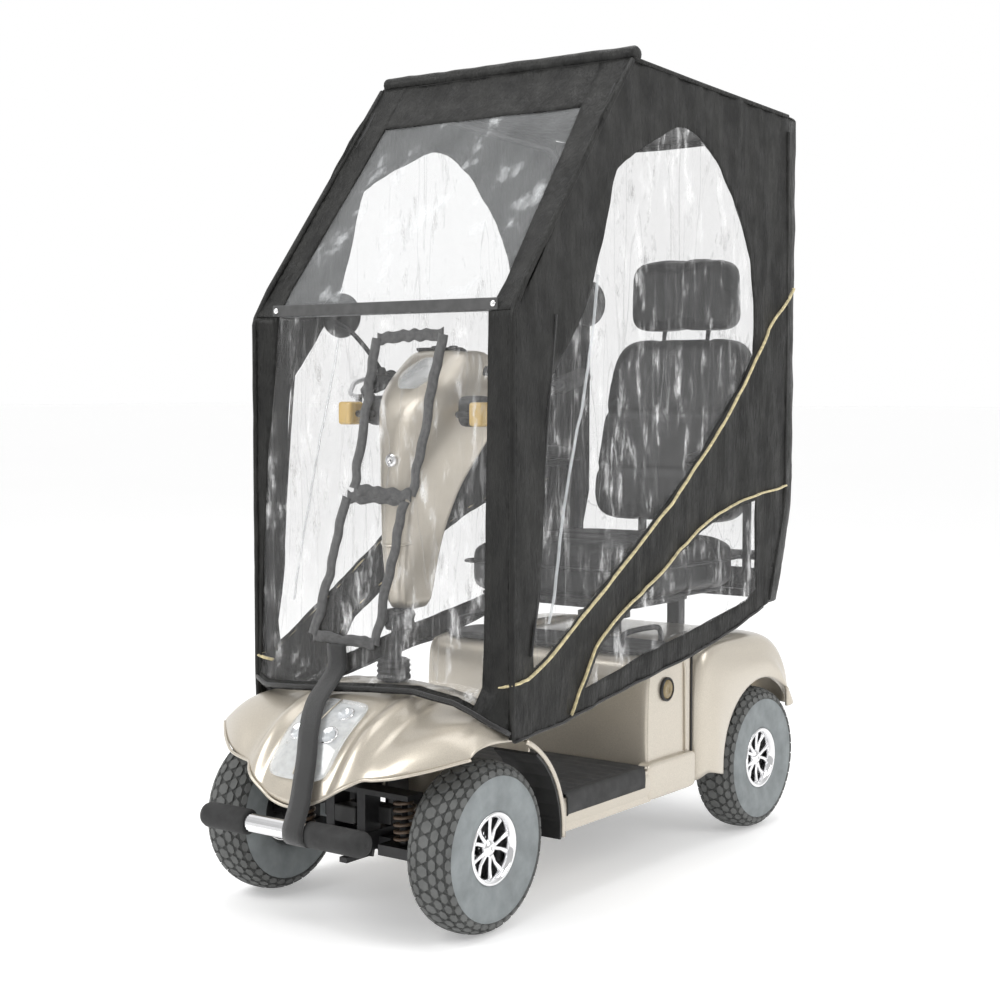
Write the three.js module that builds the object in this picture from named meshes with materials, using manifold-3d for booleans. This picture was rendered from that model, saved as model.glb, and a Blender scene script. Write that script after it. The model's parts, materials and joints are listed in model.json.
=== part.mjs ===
// Four-wheel mobility scooter with an all-weather canopy.
// Millimetres. -Y is the way it drives, +X is the rider's left, +Z is up.
// The origin is on the ground, at the middle of the whole object's box.
import * as THREE from 'three';
import { mergeVertices } from 'three/addons/utils/BufferGeometryUtils.js';
import Module from 'manifold-3d';

const wasm = await Module();
wasm.setup();

// ---------------------------------------------------------------- driving dimensions
const GAP = 0.3;                       // clearance between touching pieces
const TYRE_RADIUS = 159;
const TYRE_HALF_WIDTH = 48;
const RIM_RADIUS = 63;
const WHEEL_SIDES = 28;                // facets round a wheel; it stands on one flat
const AXLE_Z = TYRE_RADIUS * Math.cos(Math.PI / WHEEL_SIDES);
const FRONT_AXLE_Y = -478;
const REAR_AXLE_Y = 510;
const FRONT_HALF_TRACK = 249;
const REAR_HALF_TRACK = 259;
const KINGPIN_X = 185;
const AXLE_RADIUS = 9;
const ARM_PIVOT_X = 66;                // front suspension arm hinge, along Y
const ARM_PIVOT_Z = 140;

const BUMPER_Y = -719;
const BUMPER_Z = 200;
const BUMPER_HALF = 196;
const BAR_RADIUS = 17;
const PAD_RADIUS = 24;

const STEER_Y = -422;                  // steering axis where it leaves the cowl, and its height there
const STEER_Z = 409;
const STEER_RUN = 0.26;                // how far the axis leans back for each unit of height
const TILT_Z = 450;                    // tiller tilt hinge height
const COLUMN_RADIUS = 16;
const DECK_Z = 211;                    // top of the floor pan
const SEAT_Y = 325;                    // seat post centre
const SEAT_TOP = 655;

const CANOPY_HALF = 316;               // outer face of the side panels
const HOOP_X = 302;
const HOOP_RADIUS = 10;
const CANOPY_REAR = 741.9;              // the bowed rear panel, before its bow allowance
const ROOF_FRONT_Z = 1621;
const ROOF_REAR_Z = 1588;
const PANEL = 2;                       // cloth and window thickness

// ---------------------------------------------------------------- materials
function material(color, roughness, metalness = 0, opacity = 1) {
  return new THREE.MeshStandardMaterial({ color, roughness, metalness, opacity, transparent: opacity < 1 });
}
const champagne = material(0xc9bfae, 0.32, 0.55);
const blackPlastic = material(0x232323, 0.6);
const steelBlack = material(0x1c1c1e, 0.45, 0.6);
const rubber = material(0x2a2a2a, 0.85);
const tyreRubber = material(0x6d7375, 0.8);
const chrome = material(0xd8d8d8, 0.12, 1);
const aluminium = material(0xa8a8a8, 0.4, 0.9);
const springSteel = material(0x6b5a48, 0.5, 0.7);
const amber = material(0xd98a1e, 0.25);
const clearPvc = material(0xdfe4e4, 0.15, 0, 0.35);
const clothBlack = material(0x1f1f1d, 0.85);
const vinyl = material(0x2b2b2b, 0.5);
const webbing = material(0x161616, 0.8);

// ---------------------------------------------------------------- shape helpers
const v3 = (x, y, z) => new THREE.Vector3(x, y, z);
const steerPoint = (z) => v3(0, STEER_Y + (z - STEER_Z) * STEER_RUN, z);

// Turns a closed body's faces outward.
function faceOut(geometry) {
  const { array } = geometry.attributes.position;
  const index = geometry.index.array;
  const corner = (i) => v3(array[3 * i], array[3 * i + 1], array[3 * i + 2]);
  let volume = 0;
  for (let i = 0; i < index.length; i += 3) {
    volume += corner(index[i]).dot(corner(index[i + 1]).cross(corner(index[i + 2])));
  }
  if (volume < 0) {
    for (let i = 0; i < index.length; i += 3) [index[i], index[i + 1]] = [index[i + 1], index[i]];
  }
  return geometry;
}

function box(x0, x1, y0, y1, z0, z1) {
  const geometry = new THREE.BoxGeometry(x1 - x0, y1 - y0, z1 - z0);
  return geometry.translate((x0 + x1) / 2, (y0 + y1) / 2, (z0 + z1) / 2);
}

function rod(radius, from, to, sides = 16) {
  const along = v3(0, 0, 0).subVectors(to, from);
  const geometry = new THREE.CylinderGeometry(radius, radius, along.length(), sides);
  const turn = new THREE.Quaternion().setFromUnitVectors(v3(0, 1, 0), along.clone().normalize());
  const middle = v3(0, 0, 0).addVectors(from, to).multiplyScalar(0.5);
  return geometry.applyQuaternion(turn).translate(middle.x, middle.y, middle.z);
}

// Revolved about +X; profile points are [radius, x].
function turned(profile, sides) {
  const points = [...profile, profile[0]].map(([r, x]) => new THREE.Vector2(r, x));
  const geometry = new THREE.LatheGeometry(points, sides, Math.PI / sides);
  return faceOut(geometry.rotateZ(-Math.PI / 2));
}

// Revolved about +Z; profile points are [radius, z].
function upright(profile, sides) {
  const points = [...profile, profile[0]].map(([r, z]) => new THREE.Vector2(r, z));
  return faceOut(new THREE.LatheGeometry(points, sides).rotateX(Math.PI / 2));
}

// Outline in the Y-Z plane, extruded along X.
function slab(outline, x0, x1) {
  const shape = new THREE.Shape(outline.map(([y, z]) => new THREE.Vector2(y, z)));
  const geometry = new THREE.ExtrudeGeometry(shape, { depth: x1 - x0, bevelEnabled: false });
  const turn = new THREE.Matrix4().makeBasis(v3(0, 1, 0), v3(0, 0, 1), v3(1, 0, 0));
  return geometry.applyMatrix4(turn).translate(x0, 0, 0);
}

// Outline in the X-Y plane, extruded up.
function plate(outline, z0, z1) {
  const shape = new THREE.Shape(outline.map(([x, y]) => new THREE.Vector2(x, y)));
  return new THREE.ExtrudeGeometry(shape, { depth: z1 - z0, bevelEnabled: false }).translate(0, 0, z0);
}

function roundedOutline(x0, x1, y0, y1, radius, steps = 4) {
  const corners = [[x1, y0, -90], [x1, y1, 0], [x0, y1, 90], [x0, y0, 180]];
  const outline = [];
  for (const [x, y, start] of corners) {
    const cx = x === x1 ? x - radius : x + radius;
    const cy = y === y1 ? y - radius : y + radius;
    for (let i = 0; i <= steps; i += 1) {
      const angle = THREE.MathUtils.degToRad(start + (90 * i) / steps);
      outline.push([cx + radius * Math.cos(angle), cy + radius * Math.sin(angle)]);
    }
  }
  return outline;
}

// A round bar along straight runs, with each corner rounded over the bend length.
function tube(points, radius, sides = 8, bend = 30) {
  const line = [points[0]];
  for (let i = 1; i < points.length - 1; i += 1) {
    const before = points[i].clone().add(v3(0, 0, 0).subVectors(points[i - 1], points[i]).setLength(bend));
    const after = points[i].clone().add(v3(0, 0, 0).subVectors(points[i + 1], points[i]).setLength(bend));
    line.push(...new THREE.QuadraticBezierCurve3(before, points[i], after).getPoints(3));
  }
  line.push(points[points.length - 1]);
  const turn = new THREE.Quaternion();
  let facing = v3(0, 0, 1);
  const rings = line.map((point, i) => {
    const before = line[Math.max(0, i - 1)];
    const after = line[Math.min(line.length - 1, i + 1)];
    const along = v3(0, 0, 0).subVectors(after, before).normalize();
    turn.premultiply(new THREE.Quaternion().setFromUnitVectors(facing, along));
    facing = along;
    return Array.from({ length: sides }, (_, k) => {
      const angle = (2 * Math.PI * k) / sides;
      return v3(radius * Math.cos(angle), radius * Math.sin(angle), 0).applyQuaternion(turn).add(point);
    });
  });
  return loft(rings);
}

// A closed shell from a grid of points and the same grid moved by offset(point, row, column).
function sheet(rows, offset) {
  const count = rows.length;
  const width = rows[0].length;
  const positions = [];
  for (const row of rows) row.forEach((p) => positions.push(p.x, p.y, p.z));
  rows.forEach((row, i) => row.forEach((p, j) => {
    const q = p.clone().add(offset(p, i, j));
    positions.push(q.x, q.y, q.z);
  }));
  const top = (i, j) => i * width + j;
  const under = (i, j) => count * width + i * width + j;
  const index = [];
  const quad = (a, b, c, d) => index.push(a, b, c, a, c, d);
  for (let i = 0; i < count - 1; i += 1) {
    for (let j = 0; j < width - 1; j += 1) {
      quad(top(i, j), top(i, j + 1), top(i + 1, j + 1), top(i + 1, j));
      quad(under(i, j), under(i + 1, j), under(i + 1, j + 1), under(i, j + 1));
    }
  }
  for (let i = 0; i < count - 1; i += 1) {
    quad(top(i, 0), top(i + 1, 0), under(i + 1, 0), under(i, 0));
    quad(top(i, width - 1), under(i, width - 1), under(i + 1, width - 1), top(i + 1, width - 1));
  }
  for (let j = 0; j < width - 1; j += 1) {
    quad(top(0, j), under(0, j), under(0, j + 1), top(0, j + 1));
    quad(top(count - 1, j), top(count - 1, j + 1), under(count - 1, j + 1), under(count - 1, j));
  }
  const geometry = new THREE.BufferGeometry();
  geometry.setAttribute('position', new THREE.Float32BufferAttribute(positions, 3));
  geometry.setIndex(index);
  return faceOut(geometry);
}

// A closed body from matching rings of points, bottom ring first, each counter-clockwise from above.
function loft(rings) {
  const sides = rings[0].length;
  const positions = rings.flat().flatMap((p) => [p.x, p.y, p.z]);
  const index = [];
  for (let i = 0; i < rings.length - 1; i += 1) {
    for (let j = 0; j < sides; j += 1) {
      const a = i * sides + j;
      const b = i * sides + ((j + 1) % sides);
      index.push(a, b, b + sides, a, b + sides, a + sides);
    }
  }
  const last = (rings.length - 1) * sides;
  for (let j = 1; j < sides - 1; j += 1) {
    index.push(0, j + 1, j);
    index.push(last, last + j, last + j + 1);
  }
  const geometry = new THREE.BufferGeometry();
  geometry.setAttribute('position', new THREE.Float32BufferAttribute(positions, 3));
  geometry.setIndex(index);
  return faceOut(geometry);
}

function toSolid(geometry) {
  const bare = geometry.clone();
  bare.deleteAttribute('normal');
  bare.deleteAttribute('uv');
  const merged = mergeVertices(bare, 1e-4);
  return new wasm.Manifold(new wasm.Mesh({
    numProp: 3,
    vertProperties: new Float32Array(merged.attributes.position.array),
    triVerts: new Uint32Array(merged.index.array),
  }));
}

function fromSolid(solid) {
  const mesh = solid.getMesh();
  const geometry = new THREE.BufferGeometry();
  geometry.setAttribute('position', new THREE.BufferAttribute(new Float32Array(mesh.vertProperties), 3));
  geometry.setIndex(new THREE.BufferAttribute(new Uint32Array(mesh.triVerts), 1));
  return geometry;
}

function join(...pieces) {
  return fromSolid(pieces.map(toSolid).reduce((a, b) => a.add(b)));
}

function cut(piece, ...tools) {
  return fromSolid(tools.map(toSolid).reduce((a, b) => a.subtract(b), toSolid(piece)));
}

function common(a, b) {
  return fromSolid(toSolid(a).intersect(toSolid(b)));
}

const scooter = new THREE.Group();

function add(name, geometry, finish, place = [0, 0, 0], turnZ = 0) {
  const mesh = new THREE.Mesh(geometry, finish);
  mesh.name = name;
  mesh.position.set(...place);
  mesh.rotation.z = turnZ;
  scooter.add(mesh);
}

const SIDES = [['left', 1], ['right', -1]];

// ---------------------------------------------------------------- chassis frame
const RAIL_IN = 22;
const RAIL_OUT = 50;
const RAIL_LOW = 130;
const RAIL_HIGH = 165;
const FRAME_FRONT = -560;
const FRAME_KICK = 400;                // the rails step up over the transaxle here
const FRAME_REAR = 662;

function chassisFrame() {
  const pieces = [];
  for (const [, s] of SIDES) {
    const span = (x0, x1) => (s > 0 ? [x0, x1] : [-x1, -x0]);
    pieces.push(box(...span(RAIL_IN, RAIL_OUT), FRAME_FRONT, FRAME_KICK + 34, RAIL_LOW, RAIL_HIGH));
    pieces.push(box(...span(RAIL_IN, RAIL_OUT), FRAME_KICK, FRAME_KICK + 34, RAIL_LOW, 252));
    pieces.push(box(...span(RAIL_IN, RAIL_OUT), FRAME_KICK, FRAME_REAR, 222, 252));
    for (const y of [FRONT_AXLE_Y - 38, FRONT_AXLE_Y + 32]) {
      pieces.push(box(...span(RAIL_OUT - 4, ARM_PIVOT_X + 13), y, y + 6, 127, 153));
    }
    pieces.push(rod(7, v3(s * ARM_PIVOT_X, FRONT_AXLE_Y - 36, ARM_PIVOT_Z),
      v3(s * ARM_PIVOT_X, FRONT_AXLE_Y + 36, ARM_PIVOT_Z), 12));
    pieces.push(box(...span(28, 48), -552, -508, RAIL_HIGH - 4, 240));
    pieces.push(box(...span(34, 42), -478, -418, RAIL_HIGH - 4, 345));
    pieces.push(box(...span(RAIL_OUT - 4, 280), -40, -10, 172, 196));
    pieces.push(box(...span(RAIL_OUT - 4, 280), -270, -240, 172, 196));
    pieces.push(box(...span(RAIL_IN, RAIL_OUT), -270, -240, RAIL_HIGH - 4, 196));
    pieces.push(box(...span(RAIL_IN, RAIL_OUT), -40, -10, RAIL_HIGH - 4, 196));
  }
  pieces.push(box(-150, 150, -552, -508, 238, 248));
  pieces.push(box(-RAIL_IN - 4, RAIL_IN + 4, FRAME_FRONT, FRAME_FRONT + 26, RAIL_LOW, RAIL_HIGH));
  pieces.push(box(-RAIL_IN - 4, RAIL_IN + 4, -520, -456, RAIL_LOW, RAIL_HIGH));
  pieces.push(box(-42, 42, -470, -408, 340, 358));
  pieces.push(box(-RAIL_IN - 4, RAIL_IN + 4, SEAT_Y - 45, SEAT_Y + 45, RAIL_LOW, RAIL_HIGH));
  pieces.push(box(-RAIL_IN - 4, RAIL_IN + 4, FRAME_REAR - 44, FRAME_REAR, 222, 252));
  pieces.push(rod(40, v3(0, SEAT_Y, RAIL_LOW), v3(0, SEAT_Y, 470), 16));
  const bores = [
    rod(15, steerPoint(115), steerPoint(380)),
    rod(31, v3(0, SEAT_Y, 190), v3(0, SEAT_Y, 480), 16),
  ];
  return cut(join(...pieces), ...bores);
}
add('chassis_frame', chassisFrame(), steelBlack);

// ---------------------------------------------------------------- bumper
function bumper() {
  const y = BUMPER_Y;
  const pieces = [rod(BAR_RADIUS, v3(-BUMPER_HALF + 6, y, BUMPER_Z), v3(BUMPER_HALF - 6, y, BUMPER_Z), 20)];
  for (const [, s] of SIDES) {
    pieces.push(rod(9, v3(s * 36, y + 4, BUMPER_Z - 2), v3(s * 36, -572, 148), 12));
    pieces.push(box(s * 36 - 14, s * 36 + 14, -574, FRAME_FRONT - GAP, RAIL_LOW, RAIL_HIGH));
  }
  return join(...pieces);
}
add('front_bumper', bumper(), chrome);

function bumperPad(inner) {
  const bore = BAR_RADIUS + GAP;
  const end = BUMPER_HALF;
  return turned([[bore, inner], [PAD_RADIUS - 3, inner], [PAD_RADIUS, inner + 4], [PAD_RADIUS, end - 8],
    [PAD_RADIUS - 8, end], [6, end], [6, end - 6 + GAP], [bore, end - 6 + GAP]], 20);
}
add('bumper_pad_left', bumperPad(62), rubber, [0, BUMPER_Y, BUMPER_Z]);
add('bumper_pad_right', bumperPad(83), rubber, [0, BUMPER_Y, BUMPER_Z], Math.PI);

// ---------------------------------------------------------------- wheels
const BEAD = RIM_RADIUS + 0.8;
const tyreShape = [[BEAD, -34], [98, -TYRE_HALF_WIDTH], [136, -46], [TYRE_RADIUS, -26], [TYRE_RADIUS, 26],
  [136, 46], [98, TYRE_HALF_WIDTH], [68.2, 41], [68.2, 34.2], [BEAD, 34.2]];
const rimShape = [[9.5, -26], [24, -26], [24, 8], [56, 10], [57, -30], [RIM_RADIUS, -30], [RIM_RADIUS, 34.6],
  [67, 34.6], [67, 40], [57, 40], [54, 22], [9.5, 22]];

for (const [end, y, track] of [['front', FRONT_AXLE_Y, FRONT_HALF_TRACK], ['rear', REAR_AXLE_Y, REAR_HALF_TRACK]]) {
  for (const [side, s] of SIDES) {
    const turnZ = s > 0 ? 0 : Math.PI;
    add(`tyre_${end}_${side}`, turned(tyreShape, WHEEL_SIDES), tyreRubber, [s * track, y, AXLE_Z], turnZ);
    add(`rim_${end}_${side}`, turned(rimShape, 16), chrome, [s * track, y, AXLE_Z], turnZ);
  }
}

// ---------------------------------------------------------------- front suspension and knuckles
const LUG_LOW = 118;
const LUG_HIGH = 200;
const SPRING_X = 125;
const SPRING_Y = -530;
const ARM_TOP = 150;

function swingArm() {
  const pieces = [
    rod(12, v3(ARM_PIVOT_X, FRONT_AXLE_Y - 31, ARM_PIVOT_Z), v3(ARM_PIVOT_X, FRONT_AXLE_Y + 31, ARM_PIVOT_Z), 16),
    box(ARM_PIVOT_X + 4, 158, SPRING_Y - 24, FRONT_AXLE_Y + 24, 130, ARM_TOP),
    box(146, 158, FRONT_AXLE_Y - 16, FRONT_AXLE_Y + 16, LUG_LOW, LUG_HIGH),
    box(146, KINGPIN_X, FRONT_AXLE_Y - 12, FRONT_AXLE_Y + 12, LUG_LOW, LUG_LOW + 14),
    box(146, KINGPIN_X, FRONT_AXLE_Y - 12, FRONT_AXLE_Y + 12, LUG_HIGH - 14, LUG_HIGH),
    rod(15, v3(KINGPIN_X, FRONT_AXLE_Y, LUG_LOW), v3(KINGPIN_X, FRONT_AXLE_Y, LUG_LOW + 14)),
    rod(15, v3(KINGPIN_X, FRONT_AXLE_Y, LUG_HIGH - 14), v3(KINGPIN_X, FRONT_AXLE_Y, LUG_HIGH)),
  ];
  return cut(join(...pieces),
    rod(7.5, v3(ARM_PIVOT_X, FRONT_AXLE_Y - 60, ARM_PIVOT_Z), v3(ARM_PIVOT_X, FRONT_AXLE_Y + 60, ARM_PIVOT_Z), 12),
    box(40, ARM_PIVOT_X + 14, SPRING_Y - 40, FRONT_AXLE_Y - 31, 100, 170),
    rod(9, v3(KINGPIN_X, FRONT_AXLE_Y, 100), v3(KINGPIN_X, FRONT_AXLE_Y, 220)));
}

function knuckle() {
  const x = KINGPIN_X;
  const y = FRONT_AXLE_Y;
  return join(
    rod(8.5, v3(x, y, LUG_LOW - 6), v3(x, y, LUG_HIGH + 6)),
    rod(13, v3(x, y, LUG_LOW + 15), v3(x, y, LUG_HIGH - 15)),
    rod(AXLE_RADIUS, v3(x, y, AXLE_Z), v3(FRONT_HALF_TRACK + 30, y, AXLE_Z), 16),
    rod(16, v3(x + 10, y, AXLE_Z), v3(FRONT_HALF_TRACK - 30, y, AXLE_Z), 16),
    box(x - 6, x + 6, y + 8, y + 76, 164, 174),
  );
}

function coilSpring() {
  const low = ARM_TOP + GAP;
  const high = 238 - GAP;
  const turns = 5;
  const pitch = (high - low) / turns;
  const outside = [];
  for (let i = 0; i < turns; i += 1) {
    outside.push([19, low + i * pitch], [23, low + (i + 0.5) * pitch]);
  }
  return upright([[14, low], ...outside, [19, high], [14, high]], 10);
}

for (const [side, s] of SIDES) {
  const turnZ = s > 0 ? 0 : Math.PI;
  const mirror = new THREE.Matrix4().makeScale(s, 1, 1);
  const handed = (geometry) => (s > 0 ? geometry : fromSolid(toSolid(geometry).mirror([1, 0, 0])));
  add(`swing_arm_${side}`, handed(swingArm()), steelBlack);
  add(`knuckle_${side}`, handed(knuckle()), steelBlack);
  add(`spring_${side}`, coilSpring(), springSteel, [s * SPRING_X, SPRING_Y, 0]);
}

// ---------------------------------------------------------------- front cowl
// Half of the cowl's surface: at each distance from the middle, [y, z] from back to front.
const COWL_STATIONS = [
  [0, [[-388, 427], [-470, 424], [-555, 406], [-620, 376], [-665, 332], [-694, 282], [-706, 240]]],
  [40, [[-388, 427], [-470, 424], [-555, 405], [-620, 375], [-665, 330], [-693, 282], [-705, 247]]],
  [75, [[-388, 425], [-470, 421], [-550, 400], [-612, 368], [-655, 326], [-684, 286], [-698, 260]]],
  [100, [[-388, 423], [-470, 424], [-555, 406], [-618, 374], [-660, 334], [-682, 300], [-694, 276]]],
  [120, [[-388, 422], [-468, 422], [-548, 402], [-608, 372], [-648, 338], [-672, 308], [-682, 288]]],
  [138, [[-388, 418], [-460, 410], [-535, 386], [-590, 358], [-630, 332], [-655, 312], [-664, 298]]],
  [200, [[-388, 405], [-440, 404], [-500, 394], [-555, 380], [-600, 360], [-632, 332], [-648, 307]]],
  [250, [[-388, 385], [-430, 396], [-480, 398], [-530, 390], [-570, 372], [-600, 344], [-612, 320]]],
  [285, [[-388, 360], [-425, 378], [-465, 385], [-510, 382], [-545, 370], [-572, 350], [-580, 332]]],
  [303, [[-388, 343], [-425, 348], [-465, 352], [-505, 354], [-535, 352], [-556, 346], [-562, 338]]],
];

function cowlRows(stations) {
  const across = [...stations.slice(1).reverse().map(([x, line]) => [-x, line]), ...stations];
  return stations[0][1].map((_, row) => across.map(([x, line]) => v3(x, line[row][0], line[row][1])));
}

const cowlShell = sheet(cowlRows(COWL_STATIONS), () => v3(0, 2.5, -4));
const columnHole = rod(29, steerPoint(380), steerPoint(460), 20);
add('front_cowl', cut(cowlShell, columnHole), champagne);

// ---------------------------------------------------------------- floor, mat and inner guard
const PAN_HALF = 298;
const PAN_FRONT = -384;
const PAN_REAR = 44;
const SILL_LOW = 147;

const WELL_HALF = 126;                 // half width of the floor between the steered front wheels
const WELL_REAR = -280;

function floorPan() {
  return join(
    box(-WELL_HALF, WELL_HALF, PAN_FRONT, WELL_REAR + 5, DECK_Z - 6, DECK_Z),
    box(-PAN_HALF, PAN_HALF, WELL_REAR, PAN_REAR, DECK_Z - 6, DECK_Z),
    box(-WELL_HALF, WELL_HALF, PAN_FRONT, PAN_FRONT + 5, DECK_Z - 6, 338),
    box(-PAN_HALF, PAN_HALF, PAN_FRONT, PAN_FRONT + 5, 320, 338),
    box(-170, 170, PAN_FRONT, PAN_FRONT + 5, 326, 414),
    box(-PAN_HALF, -PAN_HALF + 5, WELL_REAR, PAN_REAR, SILL_LOW, DECK_Z),
    box(PAN_HALF - 5, PAN_HALF, WELL_REAR, PAN_REAR, SILL_LOW, DECK_Z),
  );
}
add('floor_pan', floorPan(), champagne);

function deckMat() {
  const top = DECK_Z + 8;
  const ribs = [];
  for (let y = -270; y <= 20; y += 29) ribs.push(box(-270, 270, y, y + 10, top - 1, top + 3));
  return join(box(-WELL_HALF + 4, WELL_HALF - 4, PAN_FRONT + 8, WELL_REAR + 8, DECK_Z + GAP, top),
    box(-PAN_HALF + 6, PAN_HALF - 6, WELL_REAR + 4, PAN_REAR - 4, DECK_Z + GAP, top), ...ribs);
}
add('deck_mat', deckMat(), rubber);

const GUARD_RADIUS = 189;

function wheelGuard(s) {
  const inner = [];
  const outer = [];
  for (let i = 0; i <= 6; i += 1) {
    const angle = THREE.MathUtils.degToRad(-6 + i * 10);
    inner.push([FRONT_AXLE_Y + GUARD_RADIUS * Math.cos(angle), AXLE_Z + GUARD_RADIUS * Math.sin(angle)]);
    outer.push([FRONT_AXLE_Y + (GUARD_RADIUS + 5) * Math.cos(angle), AXLE_Z + (GUARD_RADIUS + 5) * Math.sin(angle)]);
  }
  const outline = [...inner, ...outer.reverse()];
  return s > 0 ? slab(outline, 206, 304) : slab(outline, -304, -206);
}
add('front_inner_guard', cut(
  join(wheelGuard(1), wheelGuard(-1), box(-296, 296, -291, -284.5, 176, 198)),
  box(-RAIL_OUT - 4, RAIL_OUT + 4, -310, -278, 170, 190),
), blackPlastic);

// ---------------------------------------------------------------- rear body
const COVER_TOP = 440;
const COVER_WIDE = 288;
const COVER_NARROW = 188;
const COVER_STEP = 221;
const COVER_REAR = 622;
const WALL = 4;

function batteryCover() {
  const widePlan = [[-COVER_WIDE, 46], [COVER_WIDE, 46], [COVER_WIDE, COVER_STEP], [-COVER_WIDE, COVER_STEP]];
  const wide = plate(widePlan, 150, COVER_TOP - 22);
  const narrow = box(-COVER_NARROW, COVER_NARROW, 62, COVER_REAR, 200, COVER_TOP);
  const hollowWide = box(-COVER_WIDE + WALL, COVER_WIDE - WALL, 46 + WALL, COVER_STEP - WALL, 100, COVER_TOP - 26);
  const hollowNarrow = box(-COVER_NARROW + WALL, COVER_NARROW - WALL, 66, COVER_REAR - WALL, 100, COVER_TOP - WALL);
  const postHole = rod(44, v3(0, SEAT_Y, 380), v3(0, SEAT_Y, 500), 20);
  const railNotches = [box(-54, 54, 40, 60, 120, RAIL_HIGH + 4), box(-54, 54, 600, 640, 190, 256)];
  return cut(join(wide, narrow), hollowWide, hollowNarrow, postHole, ...railNotches);
}
add('battery_cover', batteryCover(), champagne);

const FENDER_CROWN = [[663, 262], [644, 352], [606, 402], [556, 434], [483, 447], [300, 450], [262, 446],
  [238, 428], [226, 380], [223, 147]];
// The fender's side view: the wheel arch, then its crown, both moved in by the inset.
function fenderOutline(inset, lastAngle) {
  const arch = [];
  for (let i = 0; i <= 12; i += 1) {
    const angle = THREE.MathUtils.degToRad(186 - (i * (186 - lastAngle)) / 12);
    const radius = 173 + inset;
    arch.push([REAR_AXLE_Y + radius * Math.cos(angle), AXLE_Z + 6 + radius * Math.sin(angle)]);
  }
  const crown = FENDER_CROWN.map(([y, z]) => [y - inset * Math.sign(y - 440), z > 350 ? z - inset : z]);
  return [...arch, ...crown];
}
function rearFender(s) {
  const across = (x0, x1) => (s > 0 ? [x0, x1] : [-x1, -x0]);
  return cut(slab(fenderOutline(0, 34), ...across(190, 303)), slab(fenderOutline(5, 42), ...across(180, 298)));
}
add('rear_fender_left', rearFender(1), champagne);
add('rear_fender_right', rearFender(-1), champagne);

function reflector(s) {
  return rod(15, v3(s * (COVER_WIDE + GAP), 118, 366), v3(s * (COVER_WIDE + 7), 118, 366), 20);
}
for (const [side, s] of SIDES) add(`reflector_${side}`, reflector(s), amber);

add('battery_pack', join(box(-172, -58, 76, 258, RAIL_HIGH + GAP, 345), box(58, 172, 76, 258, RAIL_HIGH + GAP, 345),
  box(-60, 60, 150, 180, 300, 312)), blackPlastic);

function transaxle() {
  return join(
    rod(13, v3(-REAR_HALF_TRACK + 32, REAR_AXLE_Y, AXLE_Z), v3(REAR_HALF_TRACK - 32, REAR_AXLE_Y, AXLE_Z)),
    rod(AXLE_RADIUS, v3(-REAR_HALF_TRACK - 30, REAR_AXLE_Y, AXLE_Z), v3(REAR_HALF_TRACK + 30, REAR_AXLE_Y, AXLE_Z)),
    rod(52, v3(-42, REAR_AXLE_Y, AXLE_Z), v3(42, REAR_AXLE_Y, AXLE_Z), 20),
    rod(40, v3(70, REAR_AXLE_Y + 56, AXLE_Z), v3(-96, REAR_AXLE_Y + 56, AXLE_Z), 20),
    box(-38, 38, REAR_AXLE_Y - 20, REAR_AXLE_Y + 70, AXLE_Z + 20, 221.5),
  );
}
add('transaxle', transaxle(), aluminium);

add('freewheel_lever', join(
  rod(9, v3(-97, REAR_AXLE_Y + 56, AXLE_Z), v3(-112, REAR_AXLE_Y + 56, AXLE_Z), 12),
  box(-112, -102, REAR_AXLE_Y + 50, REAR_AXLE_Y + 134, AXLE_Z - 6, AXLE_Z + 6),
  rod(10, v3(-120, REAR_AXLE_Y + 134, AXLE_Z), v3(-98, REAR_AXLE_Y + 134, AXLE_Z), 12),
), blackPlastic);

// ---------------------------------------------------------------- steering stub, boot and tiller column
function steeringStub() {
  const hinge = steerPoint(TILT_Z);
  const y = hinge.y;
  return join(
    rod(14, steerPoint(118), steerPoint(428)),
    rod(19, steerPoint(106), steerPoint(124)),
    box(-9, 9, -560, -496, 104, 114),
    box(-19, 19, y - 13, y + 13, 418, 430),
    box(13, 19, y - 13, y + 13, 424, TILT_Z + 12),
    box(-19, -13, y - 13, y + 13, 424, TILT_Z + 12),
    rod(5, v3(-19, y, TILT_Z), v3(19, y, TILT_Z), 12),
  );
}
add('steering_stub', steeringStub(), steelBlack);
add('tiller_boot', upright([[26, 431], [33, 431], [33, 437], [30, 441], [33, 446], [30, 451], [33, 456],
  [30, 461], [32, 466], [26, 470]], 16), rubber, [0, steerPoint(TILT_Z).y, 0]);

const HANDLE_ROOT = v3(0, -300, 938);
const handlePath = (s) => [HANDLE_ROOT, v3(s * 130, -304, 944), v3(s * 232, -226, 984), v3(s * 243, -118, 1010)];

function tillerColumn() {
  const handles = SIDES.map(([, s]) => tube(handlePath(s), 12, 8, 26));
  const y = steerPoint(TILT_Z).y;
  return join(
    cut(rod(12, v3(-12.6, y, TILT_Z), v3(12.6, y, TILT_Z), 12), rod(5.5, v3(-20, y, TILT_Z), v3(20, y, TILT_Z), 12)),
    rod(11, steerPoint(TILT_Z + 8), steerPoint(TILT_Z + 50)),
    rod(COLUMN_RADIUS, steerPoint(TILT_Z + 42), steerPoint(930)),
    rod(15, steerPoint(915), HANDLE_ROOT.clone().add(v3(0, 2, 2))),
    ...handles,
  );
}
add('tiller_column', tillerColumn(), steelBlack);

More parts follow.
